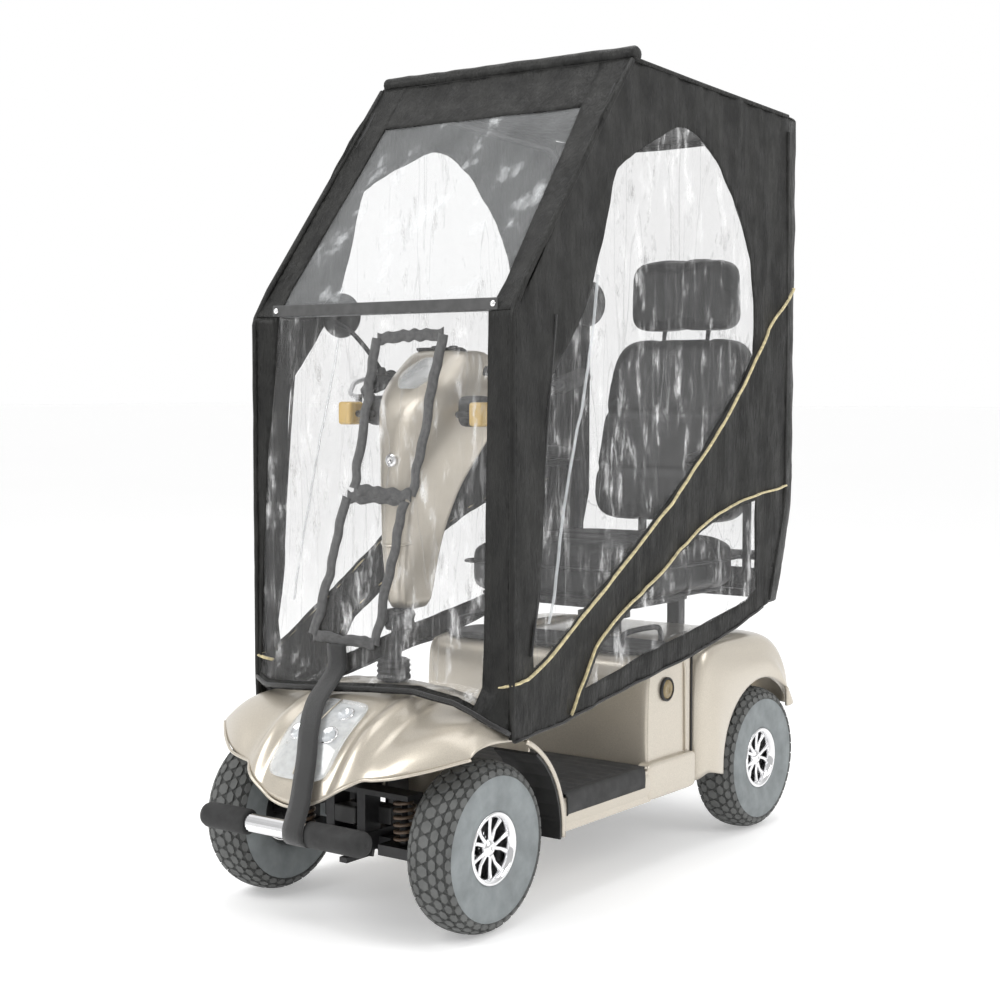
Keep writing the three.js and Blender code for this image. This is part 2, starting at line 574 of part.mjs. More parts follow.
// Tiller fairing: at each height, half width at the front and back, and the front and back y.
const FAIRING = [
  [562, 22, 32, -410, -330], [680, 30, 48, -422, -318], [800, 36, 85, -420, -288], [900, 42, 150, -408, -262],
  [960, 50, 176, -392, -244], [1005, 56, 156, -352, -235], [1035, 58, 122, -316, -226], [1066, 58, 88, -272, -222],
];
function fairingRing([z, front, back, yFront, yBack], inset = 0) {
  const f = front - inset;
  const b = back - inset;
  const y0 = yFront + inset;
  const y1 = yBack - inset;
  const side = y0 + (y1 - y0) * 0.55;
  const wide = f + (b - f) * 0.62;
  const half = [[f * 0.55, y0], [f, y0 + 9], [wide, side], [b, y1 - 16], [b * 0.86, y1]];
  return [...half.map(([x, y]) => v3(x, y, z)), ...half.reverse().map(([x, y]) => v3(-x, y, z))];
}
function tillerFairing() {
  const outer = loft(FAIRING.map((row) => fairingRing(row)));
  const innerRows = [[550, 22, 32, -409, -331], ...FAIRING.slice(1, 7)];
  const inner = loft(innerRows.map((row) => fairingRing(row, 5)));
  const handleRoom = SIDES.map(([, s]) => tube(handlePath(s), 15, 8, 26));
  const pockets = [rod(8.5, v3(62, -260, 1000), v3(62, -190, 1000)), rod(7.5, v3(-62, -260, 1000), v3(-62, -190, 1000))];
  return cut(outer, inner, ...handleRoom, ...pockets);
}
add('tiller_fairing', tillerFairing(), champagne);

// ---------------------------------------------------------------- tiller controls
add('horn_button', rod(8, v3(62, -228, 1000), v3(62, -208, 1000)), blackPlastic);
add('ignition_key', join(rod(7, v3(-62, -228, 1000), v3(-62, -212, 1000)),
  box(-64, -60, -213, -190, 990, 1010)), chrome);

const THROTTLE_Y = -236;
add('throttle_lever', join(
  box(-98, 98, THROTTLE_Y - 4, THROTTLE_Y + 4, 926, 944),
  rod(9, v3(0, THROTTLE_Y, 918), v3(0, THROTTLE_Y, 952)),
), blackPlastic);

add('brake_lever', join(
  rod(7, v3(-196, -284, 958), v3(-196, -284, 974), 10),
  tube([v3(-196, -284, 966), v3(-240, -262, 974), v3(-278, -205, 998), v3(-278, -130, 1014)], 5, 6, 16),
), aluminium);

function indicator(s) {
  const lamp = plate(roundedOutline(146, 180, -368, -324, 8, 3), 914, 960);
  const stem = rod(6, v3(116, -346, 936), v3(150, -346, 936), 10);
  const solid = join(lamp, stem);
  return s > 0 ? solid : fromSolid(toSolid(solid).mirror([1, 0, 0]));
}
for (const [side, s] of SIDES) add(`indicator_${side}`, indicator(s), amber);

// Mirrors: a round head on a stalk from the head of the tiller.
const MIRRORS = [['left', v3(130, -284, 1018), v3(211, -76, 1155), -8],
  ['right', v3(-130, -290, 1018), v3(-252, -282, 1136), 8]];
for (const [side, base, head, yaw] of MIRRORS) {
  const disc = [[1, 10], [30, 8], [44, 0], [47, -8], [45, -11], [1, -11]];
  const dish = turned(disc, 24).rotateZ(-Math.PI / 2 + THREE.MathUtils.degToRad(yaw)).translate(head.x, head.y, head.z);
  const stalk = rod(4.5, base, head.clone().add(v3(0, -9, -18)), 10);
  const foot = rod(7, base.clone().add(v3(0, 0, -8)), base.clone().add(v3(0, 0, 8)), 12);
  add(`mirror_${side}`, join(dish, stalk, foot), blackPlastic);
}

// ---------------------------------------------------------------- seat
const RECLINE_Y = 599;                 // hinge of the seat back
const RECLINE_Z = 700;
const ARM_HINGE_Y = 566;
const ARM_HINGE_Z = 800;
const PLATE_Z = 512;                   // top of the post's flange

add('seat_post', join(
  rod(28, v3(0, SEAT_Y, 194), v3(0, SEAT_Y, 505), 16),
  rod(60, v3(0, SEAT_Y, 474), v3(0, SEAT_Y, 486), 16),
  box(-90, 90, SEAT_Y - 70, SEAT_Y + 70, 500, PLATE_Z),
), steelBlack);

function seatCarriage() {
  const pieces = [plate(roundedOutline(-150, 150, SEAT_Y - 140, SEAT_Y + 140, 40, 3), PLATE_Z + GAP, 529)];
  pieces.push(box(-238, 238, ARM_HINGE_Y - 8, ARM_HINGE_Y + 8, PLATE_Z + GAP, 529));
  for (const [, s] of SIDES) {
    pieces.push(box(s * 70 - 5, s * 70 + 5, SEAT_Y + 130, RECLINE_Y + 11, PLATE_Z + GAP, 529));
    pieces.push(box(s * 70 - 5, s * 70 + 5, RECLINE_Y - 11, RECLINE_Y + 11, 520, RECLINE_Z + 12));
    pieces.push(box(s * 230 - 7, s * 230 + 7, ARM_HINGE_Y - 8, ARM_HINGE_Y + 8, 520, ARM_HINGE_Z + 12));
  }
  pieces.push(rod(5, v3(-74, RECLINE_Y, RECLINE_Z), v3(74, RECLINE_Y, RECLINE_Z), 12));
  return join(...pieces);
}
add('seat_carriage', seatCarriage(), steelBlack);

const CUSHION_HALF = 230;
function seatCushion() {
  const outline = roundedOutline(-CUSHION_HALF, CUSHION_HALF, 98, 552, 66, 4);
  const inner = roundedOutline(-CUSHION_HALF + 12, CUSHION_HALF - 12, 110, 540, 56, 4);
  return loft([[inner, 531], [outline, 545], [outline, SEAT_TOP - 22], [inner, SEAT_TOP]].map(
    ([ring, z]) => ring.map(([x, y]) => v3(x, y, z))));
}
add('seat_cushion', seatCushion(), vinyl);

// Seat back and headrest lean back together.
const BACK_LEAN = 0.18;
const backFront = (z) => 558 + (z - 655) * BACK_LEAN;
function seatBack() {
  const rows = [[664, 206, 12], [690, 214, 0], [870, 190, 0], [1040, 166, 0], [1085, 150, 6], [1104, 118, 18]];
  const pad = loft(rows.map(([z, half, tuck]) => {
    const y0 = backFront(z) + tuck;
    const y1 = backFront(z) + 80 - tuck;
    const edge = 22;
    return [[half - edge, y0], [half, y0 + edge], [half, y1 - edge], [half - edge, y1],
      [-half + edge, y1], [-half, y1 - edge], [-half, y0 + edge], [-half + edge, y0]].map(([x, y]) => v3(x, y, z));
  }));
  const pin = rod(5.5, v3(-80, RECLINE_Y, RECLINE_Z), v3(80, RECLINE_Y, RECLINE_Z), 12);
  const slots = SIDES.map(([, s]) => box(s * 70 - 7, s * 70 + 7, 500, 700, 650, RECLINE_Z + 24));
  return cut(pad, pin, ...slots);
}
const stemPoint = (x, z) => v3(x, backFront(z) + 40, z);
add('seat_back', cut(seatBack(),
  ...SIDES.map(([, s]) => rod(8, stemPoint(s * 60, 970), stemPoint(s * 60, 1130), 10))), vinyl);

function headrest() {
  const rows = [[1120, 112, 14], [1138, 130, 3], [1180, 138, 0], [1240, 138, 0], [1275, 122, 5], [1290, 92, 18]];
  const pad = loft(rows.map(([z, half, tuck]) => {
    const y0 = 642 + tuck;
    const y1 = 716 - tuck;
    const edge = 18;
    return [[half - edge, y0], [half, y0 + edge], [half, y1 - edge], [half - edge, y1],
      [-half + edge, y1], [-half, y1 - edge], [-half, y0 + edge], [-half + edge, y0]].map(([x, y]) => v3(x, y, z));
  }));
  const stems = SIDES.map(([, s]) => rod(6, stemPoint(s * 60, 990), stemPoint(s * 60, 1130), 10));
  return join(pad, ...stems);
}
add('headrest', headrest(), vinyl);

function armrest(s) {
  const solid = join(
    box(238, 272, 262, 548, 812, 846),
    rod(14, v3(237.4, ARM_HINGE_Y, ARM_HINGE_Z), v3(262, ARM_HINGE_Y, ARM_HINGE_Z), 12),
    box(242, 258, 470, 572, 794, 816),
  );
  return s > 0 ? solid : fromSolid(toSolid(solid).mirror([1, 0, 0]));
}
for (const [side, s] of SIDES) add(`armrest_${side}`, armrest(s), vinyl);

// ---------------------------------------------------------------- canopy frame
const KNEE_Y = -440;
const hoopLine = (x) => [v3(x, -434, 372), v3(x, KNEE_Y, 1112), v3(x, -78, 1592), v3(x, 562, 1562),
  v3(x, 562, 760), v3(x, 486, 528)];
for (const [side, s] of SIDES) add(`canopy_hoop_${side}`, tube(hoopLine(s * HOOP_X), HOOP_RADIUS, 8, 40), steelBlack);

const BAR_Y = -409;
const BAR_Z = 1137;
add('windscreen_bar', plate(roundedOutline(-HOOP_X + HOOP_RADIUS + 1, HOOP_X - HOOP_RADIUS - 1, BAR_Y - 8, BAR_Y + 8, 4, 2),
  BAR_Z - 11, BAR_Z + 11), steelBlack);

add('canopy_stay', join(
  tube([v3(-280, 530, 600), v3(-280, 640, 600), v3(280, 640, 600), v3(280, 530, 600)], 11, 8, 40),
  box(-16, 16, 626, 654, 252.4, 606),
), steelBlack);

// ---------------------------------------------------------------- canopy cover and windows
const SIDE_OUTLINE = [[-458, 352], [-458, 1122], [-430, 1146], [-173, 1505], [-70, 1612], [-24, 1617],
  [572, 1585.5], [578, 1580], [578, 734], [503, 509], [344, 466], [174, 432], [-95, 396], [-302, 364]];
for (const [side, s] of SIDES) {
    const span = s > 0 ? [CANOPY_HALF - PANEL, CANOPY_HALF] : [-CANOPY_HALF, -CANOPY_HALF + PANEL];
  add(`side_panel_${side}`, slab(SIDE_OUTLINE, ...span), clothBlack);
}

const REAR_PLAN = [[CANOPY_HALF, 0], [311, 50], [290, 105], [250, 148], [195, 164]];
function rearPanel() {
  const levels = [[509, -72], [620, -36], [734, 0], [1580, 0]];
  const depth = CANOPY_REAR - 164;
  const rows = levels.map(([z, shift]) => {
    const half = REAR_PLAN.map(([x, y]) => v3(x, depth + 0.8 + y + shift, z));
    const other = [...half].reverse().map((p) => v3(-p.x, p.y, p.z));
    return [...half, ...other];
  });
  return sheet(rows, (p) => v3(-Math.sign(p.x) * (Math.abs(p.x) > 200 ? 1.6 : 0), Math.abs(p.x) > 300 ? 0 : -1.8, 0));
}
add('canopy_rear', rearPanel(), clothBlack);

function canopyRoof() {
  const fall = (y) => ROOF_FRONT_Z + ((ROOF_REAR_Z - ROOF_FRONT_Z) * (y + 24)) / 600;
  const profile = [[-66, 1614], [-34, 1614], [-28, fall(-28) - 2.4], [CANOPY_REAR - 2, fall(CANOPY_REAR - 2) - 2.4],
    [CANOPY_REAR - 2, fall(CANOPY_REAR - 2)], [-24, ROOF_FRONT_Z], [-30, 1652], [-66, 1650]];
  const plan = [[CANOPY_HALF - 2.6, -80], ...REAR_PLAN.map(([x, y]) => [x - 2.6, CANOPY_REAR - 164 + y - 2.6])];
  const other = [...plan].reverse().map(([x, y]) => [-x, y]);
  return common(slab(profile, -CANOPY_HALF, CANOPY_HALF), plate([...plan, ...other], 1500, 1700));
}
add('canopy_roof', canopyRoof(), clothBlack);

const SCREEN_HALF = HOOP_X - HOOP_RADIUS - 3;
add('windscreen_upper', slab([[-418, 1154], [-416.4, 1152.8], [-81, 1594], [-82.6, 1595.2]],
  -SCREEN_HALF, SCREEN_HALF), clearPvc);
add('windscreen_lower', slab([[-474, 431], [-472.2, 431], [-421, 1124], [-422.8, 1124]],
  -SCREEN_HALF, SCREEN_HALF), clearPvc);

// Webbing strap from the windscreen's foot, over the cowl and round the bumper bar.
const STRAP = [[-115, -475, 506], [-107, -482, 454], [-93, -522, 431], [-64, -590, 406], [-38, -650, 366],
  [-18, -690, 312], [0, -712, 262], [22, -733, 222], [30, -739, 204], [33, -736, 188], [33, -722, 180]];
function strap() {
  const half = 24;
  const rows = STRAP.map(([x, y, z]) => [v3(x - half, y, z), v3(x + half, y, z)]);
  const lift = STRAP.map((_, i) => {
    const a = STRAP[Math.max(0, i - 1)];
    const b = STRAP[Math.min(STRAP.length - 1, i + 1)];
    return v3(0, b[2] - a[2], a[1] - b[1]).setLength(2);
  });
  return sheet(rows, (p, i) => lift[i]);
}
add('hold_down_strap', strap(), webbing);

export default scooter;
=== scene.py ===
"""Mobility scooter with an all-weather canopy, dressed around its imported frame.

Sizes below are in millimetres, in the frame's axes: -Y is forward, +X is the rider's left, +Z is up.
"""
import bpy
import bmesh
import json
from math import copysign, cos, dist, exp, hypot, pi, radians, sin, sqrt, tau
from mathutils import Matrix, Vector, kdtree, noise
from mathutils.geometry import delaunay_2d_cdt


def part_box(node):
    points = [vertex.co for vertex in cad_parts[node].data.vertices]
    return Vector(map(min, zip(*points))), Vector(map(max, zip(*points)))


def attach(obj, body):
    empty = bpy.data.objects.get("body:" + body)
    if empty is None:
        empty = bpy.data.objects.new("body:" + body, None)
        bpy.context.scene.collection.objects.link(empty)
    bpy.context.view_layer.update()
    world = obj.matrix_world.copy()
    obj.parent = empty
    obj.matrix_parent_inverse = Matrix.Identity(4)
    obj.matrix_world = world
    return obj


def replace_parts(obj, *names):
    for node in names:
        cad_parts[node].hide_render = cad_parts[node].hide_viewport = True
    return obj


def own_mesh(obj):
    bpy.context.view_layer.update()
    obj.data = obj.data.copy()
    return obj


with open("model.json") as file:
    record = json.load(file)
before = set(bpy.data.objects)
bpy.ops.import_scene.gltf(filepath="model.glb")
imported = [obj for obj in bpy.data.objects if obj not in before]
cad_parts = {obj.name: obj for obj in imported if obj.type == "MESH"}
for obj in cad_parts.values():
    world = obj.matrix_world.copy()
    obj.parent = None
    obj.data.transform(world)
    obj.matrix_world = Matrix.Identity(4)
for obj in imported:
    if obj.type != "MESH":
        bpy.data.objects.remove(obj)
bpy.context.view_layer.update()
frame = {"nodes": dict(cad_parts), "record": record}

MM = 0.001
SIDES = (("left", 1), ("right", -1))
TYRE_RADIUS = 159.0
FRONT_AXLE_Y, REAR_AXLE_Y = -478.0, 510.0
WHEEL_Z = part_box("tyre_front_left")[1][2] / MM / 2
HALF = 314.5            # the side panels' distance from the middle


# ---------- small geometry tools
def point(x, y, z):
    return Vector((x, y, z))


def lerp(a, b, t):
    return a + (b - a) * t


def along(table, x):
    """Straight-line reading of a table of (x, value) pairs in rising x."""
    if x <= table[0][0]:
        return table[0][1]
    for (x0, v0), (x1, v1) in zip(table, table[1:]):
        if x <= x1:
            return lerp(v0, v1, (x - x0) / (x1 - x0))
    return table[-1][1]


def smooth_line(points, steps=6):
    """A Catmull-Rom curve through the points."""
    points = [Vector(p) for p in points]
    ends = [points[0] * 2 - points[1]] + points + [points[-1] * 2 - points[-2]]
    line = []
    for a, b, c, d in zip(ends, ends[1:], ends[2:], ends[3:]):
        square, cube = 2 * a - 5 * b + 4 * c - d, 3 * b - a - 3 * c + d
        line += [0.5 * (2 * b + (c - a) * t + square * t * t + cube * t ** 3)
                 for t in (i / steps for i in range(steps))]
    return line + [points[-1]]


def soft_outline(points, steps=4):
    """The same curve through flat points."""
    return [(p.x, p.y) for p in smooth_line([(a, b, 0) for a, b in points], steps)]


def mirrored(side, points):
    """The points, with x turned to that side."""
    return [point(side * x, y, z) for x, y, z in points]


def wave(*where):
    """Smooth noise from -1 to 1."""
    return noise.noise(Vector(where))


def make(name, verts, faces, material, smooth=True):
    mesh = bpy.data.meshes.new(name)
    mesh.from_pydata([Vector(v) * MM for v in verts], [], faces)
    mesh.materials.append(material)
    mesh.update()
    piece = bpy.data.objects.new(name, mesh)
    bpy.context.scene.collection.objects.link(piece)
    if smooth:
        mesh.shade_smooth()
    return piece


def place(piece, slot, *replaced, body="chassis"):
    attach(piece, body)
    if replaced:
        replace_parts(piece, *replaced)
    return piece


def thicken(piece, thickness, offset=0.0):
    solid = piece.modifiers.new("thickness", "SOLIDIFY")
    solid.thickness = thickness * MM
    solid.offset = offset
    return piece


def bevel(piece, width, segments=3, angle=35):
    edge = piece.modifiers.new("bevel", "BEVEL")
    edge.width = width * MM
    edge.segments = segments
    edge.limit_method = "ANGLE"
    edge.angle_limit = radians(angle)
    edge.harden_normals = True
    return piece


def subdivide(piece, levels=1):
    surface = piece.modifiers.new("smooth", "SUBSURF")
    surface.levels = surface.render_levels = levels
    return piece


def outward(piece):
    """Turns a closed piece's faces outward."""
    shell = bmesh.new()
    shell.from_mesh(piece.data)
    bmesh.ops.recalc_face_normals(shell, faces=shell.faces)
    shell.to_mesh(piece.data)
    shell.free()
    return piece


def orient_up(piece):
    return facing(piece, point(0, 0, 1))


def facing(piece, way):
    """Turns an open surface so that, on the whole, its faces look that way."""
    if sum(f.normal.dot(way) for f in piece.data.polygons) < 0:
        piece.data.flip_normals()
    return piece


def grid(name, rows, material, round_rows=False, round_columns=False, caps=False):
    """A surface through rows of points."""
    high, wide = len(rows), len(rows[0])
    verts = [p for row in rows for p in row]
    faces = []
    for i in range(high if round_rows else high - 1):
        for j in range(wide if round_columns else wide - 1):
            a, b = i * wide + j, i * wide + (j + 1) % wide
            c, d = ((i + 1) % high) * wide + (j + 1) % wide, ((i + 1) % high) * wide + j
            faces.append((a, b, c, d))
    if caps:
        faces.append(tuple(reversed(range(wide))))
        faces.append(tuple(range((high - 1) * wide, high * wide)))
    return outward(make(name, verts, faces, material))


def pipe(name, line, radius, material, sides=10, flat=1.0):
    """A bar along a line of points; radius is a number or a function of the share of the way along."""
    line = [Vector(p) for p in line]
    rows, turn, heading = [], Matrix.Identity(3), Vector((0, 0, 1))
    for i, centre in enumerate(line):
        tangent = (line[min(i + 1, len(line) - 1)] - line[max(i - 1, 0)]).normalized()
        turn = heading.rotation_difference(tangent).to_matrix() @ turn
        heading = tangent
        size = radius(i / (len(line) - 1)) if callable(radius) else radius
        rows.append(
            [centre + turn @ Vector((size * cos(a), flat * size * sin(a), 0))
            for a in (tau * k / sides for k in range(sides))])
    return grid(name, rows, material, round_columns=True, caps=True)


def turned(name, profile, centre, material, steps=48, axis="X", side=1):
    """A ring or disc about an axis; profile points are (radius, distance along the axis)."""
    rows = []
    for k in range(steps):
        a = tau * k / steps
        row = []
        for r, d in profile:
            spot = [r * cos(a), r * sin(a)]
            spot.insert("XYZ".index(axis), side * d)
            row.append(Vector(spot) + Vector(centre))
        rows.append(row)
    return grid(name, rows, material, round_rows=True, round_columns=True)


def prism(name, outline, x0, x1, material):
    """An outline of (y, z) points carried from x0 to x1."""
    count = len(outline)
    verts = [(x0, y, z) for y, z in outline] + [(x1, y, z) for y, z in outline]
    faces = [tuple(range(count)), tuple(reversed(range(count, 2 * count)))]
    faces += [(i, (i + 1) % count, count + (i + 1) % count, count + i) for i in range(count)]
    return outward(make(name, verts, faces, material))


def block(name, low, high, material, edge=3):
    (x0, y0, z0), (x1, y1, z1) = low, high
    return bevel(prism(name, [(y0, z0), (y1, z0), (y1, z1), (y0, z1)], x0, x1, material), edge)


def inside(p, outline):
    odd = False
    for (x0, y0), (x1, y1) in zip(outline, outline[1:] + outline[:1]):
        if (y0 > p[1]) != (y1 > p[1]) and p[0] < x0 + (x1 - x0) * (p[1] - y0) / (y1 - y0):
            odd = not odd
    return odd


def flat_area(outline):
    return abs(sum(a[0] * b[1] - b[0] * a[1] for a, b in zip(outline, outline[1:] + outline[:1]))) / 2


def cut_cloth(outline, holes, spacing):
    """Triangles that fill a flat outline around its holes."""
    spots, edges = [], []
    for ring in [outline] + holes:
        start = len(spots)
        for a, b in zip(ring, ring[1:] + ring[:1]):
            parts = max(1, round(dist(a, b) / spacing))
            spots += [(lerp(a[0], b[0], i / parts), lerp(a[1], b[1], i / parts)) for i in range(parts)]
        count = len(spots) - start
        edges += [(start + i, start + (i + 1) % count) for i in range(count)]
    tree = kdtree.KDTree(len(spots))
    for i, (u, v) in enumerate(spots):
        tree.insert((u, v, 0), i)
    tree.balance()
    low = [min(p[k] for p in outline) for k in (0, 1)]
    high = [max(p[k] for p in outline) for k in (0, 1)]
    across, up = int((high[0] - low[0]) / spacing) + 1, int((high[1] - low[1]) / (spacing * 0.87)) + 1
    for j in range(up):
        for i in range(across):
            p = (low[0] + (i + 0.5 * (j % 2)) * spacing, low[1] + j * spacing * 0.87)
            if inside(p, outline) and not any(inside(p, h) for h in holes):
                if tree.find((p[0], p[1], 0))[2] > 0.5 * spacing:
                    spots.append(p)
    flat, _, triangles, *_ = delaunay_2d_cdt([Vector(p) for p in spots], edges, [], 0, 1e-4)
    kept = []
    for t in triangles:
        middle = sum((flat[i] for i in t), Vector((0, 0))) / 3
        if inside(middle, outline) and not any(inside(middle, h) for h in holes):
            kept.append(tuple(t))
    return flat, kept


def cloth(
        name, outline, holes, hang, material, slot, spacing=14, thickness=1.6,
        growth=1.0):
    """A flat-cut sheet hung in place by hang(u, v); growth is the cloth's own length for each unit of v."""
    outline, holes = [tuple(p) for p in outline], [[tuple(p) for p in h] for h in holes]
    flat, triangles = cut_cloth(outline, holes, spacing)
    used = sorted({i for t in triangles for i in t})
    order = {old: new for new, old in enumerate(used)}
    piece = make(
        name, [hang(*flat[i]) for i in used], [tuple(order[i] for i in t) for t in triangles], material)
    thicken(piece, thickness)
    place(piece, slot)
    width = max(p[0] for p in outline) - min(p[0] for p in outline)
    length = (max(p[1] for p in outline) - min(p[1] for p in outline)) * growth
    area = (flat_area(outline) - sum(flat_area(h) for h in holes)) * growth
    return piece


def strips(name, outlines, hang, spacing=13, growth=1.0):
    """A frame of cloth sewn from straight cuts, so that each strip has its own flat size."""
    return [
        cloth(f"{name}_{i + 1}", outline, [], hang, CLOTH, "canopy_fabric", spacing, 2.2, growth=growth)
        for i, outline in enumerate(outlines)]


# ---------- materials
class Finish:
    """A node material built up around one Principled shader."""

    def __init__(self, name, color, roughness, metallic=0.0, **sockets):
        self.material = bpy.data.materials.new(name)
        self.material.use_nodes = True
        self.tree = self.material.node_tree
        self.shader = self.tree.nodes["Principled BSDF"].inputs
        self.color = color
        self.bumped = None
        self.place = self.node("TexCoord", "Object", {})
        plain = {"Base Color": (*color, 1), "Roughness": roughness, "Metallic": metallic, **sockets}
        for socket, value in plain.items():
            self.shader[socket.replace("_", " ")].default_value = value

    def link(self, output, target):
        self.tree.links.new(output, target)

    def node(self, kind, output, sources, **values):
        """A new node with its values set and its inputs linked to their sources; gives its output."""
        node = self.tree.nodes.new("ShaderNode" + kind)
        for socket, value in values.items():
            node.inputs[socket].default_value = value
        for socket, source in sources.items():
            self.link(source, node.inputs[socket])
        return node.outputs[output]

    def noise(self, scale, detail=3.0, stretch=(1, 1, 1), roughness=0.55):
        spot = self.node("Mapping", "Vector", {"Vector": self.place}, Scale=stretch)
        return self.node(
            "TexNoise", "Fac", {"Vector": spot}, Scale=scale, Detail=detail, Roughness=roughness)

    def cells(self, scale):
        return self.node("TexVoronoi", "Distance", {"Vector": self.place}, Scale=scale)

    def threads(self, scale, direction):
        output = self.node("TexWave", "Fac", {"Vector": self.place}, Scale=scale, Distortion=0.6)
        output.node.bands_direction = direction
        return output

    def ramp(self, factor, stops):
        output = self.node("ValToRGB", "Color", {"Fac": factor})
        elements = output.node.color_ramp.elements
        while len(elements) < len(stops):
            elements.new(0.5)
        for element, (spot, value) in zip(elements, stops):
            element.position = spot
            element.color = (*value, 1) if isinstance(value, tuple) else (value, value, value, 1)
        return output

    def mottle(self, factor, dark, light):
        """Colour that runs between two shades of the base."""
        shades = [tuple(min(1.0, c * k) for c in self.color) for k in (dark, light)]
        self.link(self.ramp(factor, [(0.3, shades[0]), (0.7, shades[1])]), self.shader["Base Color"])
        return self

    def gloss(self, factor, low, high):
        self.link(self.ramp(factor, [(0.3, low), (0.7, high)]), self.shader["Roughness"])
        return self

    def most(self, first, second):
        output = self.node("Math", 0, {0: first, 1: second})
        output.node.operation = "MAXIMUM"
        return output

    def clear(self, factor, stops):
        self.link(self.ramp(factor, stops), self.shader["Alpha"])
        return self

    def bump(self, factor, strength, distance=0.001):
        sources = {"Height": factor, "Normal": self.bumped} if self.bumped else {"Height": factor}
        self.bumped = self.node("Bump", "Normal", sources, Strength=strength, Distance=distance)
        self.link(self.bumped, self.shader["Normal"])
        return self


def champagne_paint():
    f = Finish("champagne metallic", (0.55, 0.50, 0.42), 0.34, 0.55, Coat_Weight=0.6, Coat_Roughness=0.12)
    f.mottle(f.noise(700, 2), 0.88, 1.1)
    f.gloss(f.noise(9, 4), 0.28, 0.42)
    return f.bump(f.noise(260, 2), 0.05, 0.0004).material


def canopy_cloth():
    f = Finish("coated canopy cloth", (0.0085, 0.0085, 0.0078), 0.5, Specular_IOR_Level=0.28)
    f.mottle(f.noise(16, 6, (1.3, 1.3, 0.6), 0.7), 0.35, 2.6)
    f.gloss(f.noise(22, 4), 0.36, 0.6)
    f.bump(f.noise(24, 5, (1.5, 1.5, 0.4), 0.62), 0.9, 0.012)
    f.bump(f.threads(620, "Z"), 0.12, 0.0003)
    return f.bump(f.threads(620, "Y"), 0.12, 0.0003).material


def clear_film():
    f = Finish("clear vinyl film", (0.9, 0.9, 0.9), 0.06, 0.0, Specular_IOR_Level=0.8, Coat_Weight=0.6)
    # Where the glint and crease masks peak, the base colour turns white and the alpha rises: painted glints
    # and painted highlights along the creases, over a faint even haze.
    glints = f.noise(9, 7, (3.4, 3.4, 1.1), 0.7)
    folds = f.noise(3.1, 2, (5.5, 5.5, 0.35), 0.4)
    creases = f.ramp(folds, [(0.490, 0.0), (0.5, 0.22), (0.510, 0.0)])
    haze_and_glints = f.ramp(glints, [(0.0, 0.05), (0.56, 0.07), (0.64, 0.24), (0.72, 0.6)])
    f.link(f.ramp(f.most(glints, creases), [(0.5, 0.42), (0.62, 0.95)]), f.shader["Base Color"])
    f.link(f.most(haze_and_glints, creases), f.shader["Alpha"])
    return f.bump(f.noise(11, 5, (2.2, 2.2, 0.6)), 0.7, 0.008).material


def sloping_sheen_film():
    # A copy of the window film for the sloping panel alone, lighter and cloudier than the others: its even
    # grey is a painted sheen of the light the upturned panel reflects, and the white streaks where the noise
    # peaks are painted glints.
    f = Finish("sloping vinyl film with painted sheen", (0.85, 0.87, 0.88), 0.16, 0.0, Specular_IOR_Level=0.6)
    f.clear(f.noise(5.5, 5, (2.4, 2.4, 1.2), 0.62), [(0.3, 0.075), (0.58, 0.10), (0.66, 0.26), (0.74, 0.5)])
    return f.bump(f.noise(9, 4, (2, 2, 0.8)), 0.4, 0.006).material


def lens_film():
    f = Finish("clear lens", (0.80, 0.83, 0.85), 0.05, 0.0, Specular_IOR_Level=0.9, Coat_Weight=1.0)
    return f.clear(f.noise(60, 2), [(0.3, 0.34), (0.7, 0.48)]).material


def woven(name, color, scale=900):
    f = Finish(name, color, 0.72, Sheen_Weight=0.3)
    f.mottle(f.noise(120, 3), 0.7, 1.4)
    f.bump(f.threads(scale, "X"), 0.35, 0.0004)
    return f.bump(f.threads(scale, "Z"), 0.35, 0.0004).material


def tyre_rubber(name, color):
    f = Finish(name, color, 0.78)
    f.mottle(f.noise(26, 5), 0.82, 1.15)
    f.gloss(f.noise(60, 3), 0.66, 0.88)
    return f.bump(f.noise(420, 3), 0.25, 0.0005).material


def grained(name, color, roughness=0.55, grain=900, strength=0.25, **sockets):
    f = Finish(name, color, roughness, **sockets)
    f.mottle(f.noise(40, 4), 0.75, 1.3)
    f.gloss(f.noise(30, 3), roughness - 0.08, roughness + 0.1)
    return f.bump(f.cells(grain), strength, 0.0004).material


def polished(name, color, roughness=0.08):
    f = Finish(name, color, roughness, 1.0)
    f.mottle(f.noise(30, 3), 0.93, 1.03)
    return f.gloss(f.noise(70, 4), roughness * 0.7, roughness * 1.8).material


def powder_coat(name, color, roughness=0.45):
    f = Finish(name, color, roughness, 0.2)
    f.mottle(f.noise(50, 3), 0.75, 1.25)
    return f.bump(f.noise(900, 2), 0.2, 0.0003).material


def amber_lens():
    f = Finish("amber lens", (0.74, 0.50, 0.15), 0.2, 0.0, Coat_Weight=0.8)
    f.mottle(f.threads(160, "Z"), 0.75, 1.15)
    return f.bump(f.threads(160, "Z"), 0.4, 0.001).material


def pale_floor():
    f = Finish("studio floor", (0.86, 0.86, 0.86), 0.7, Emission_Color=(1, 1, 1, 1), Emission_Strength=0.32)
    return f.mottle(f.noise(0.6, 3), 0.99, 1.01).material


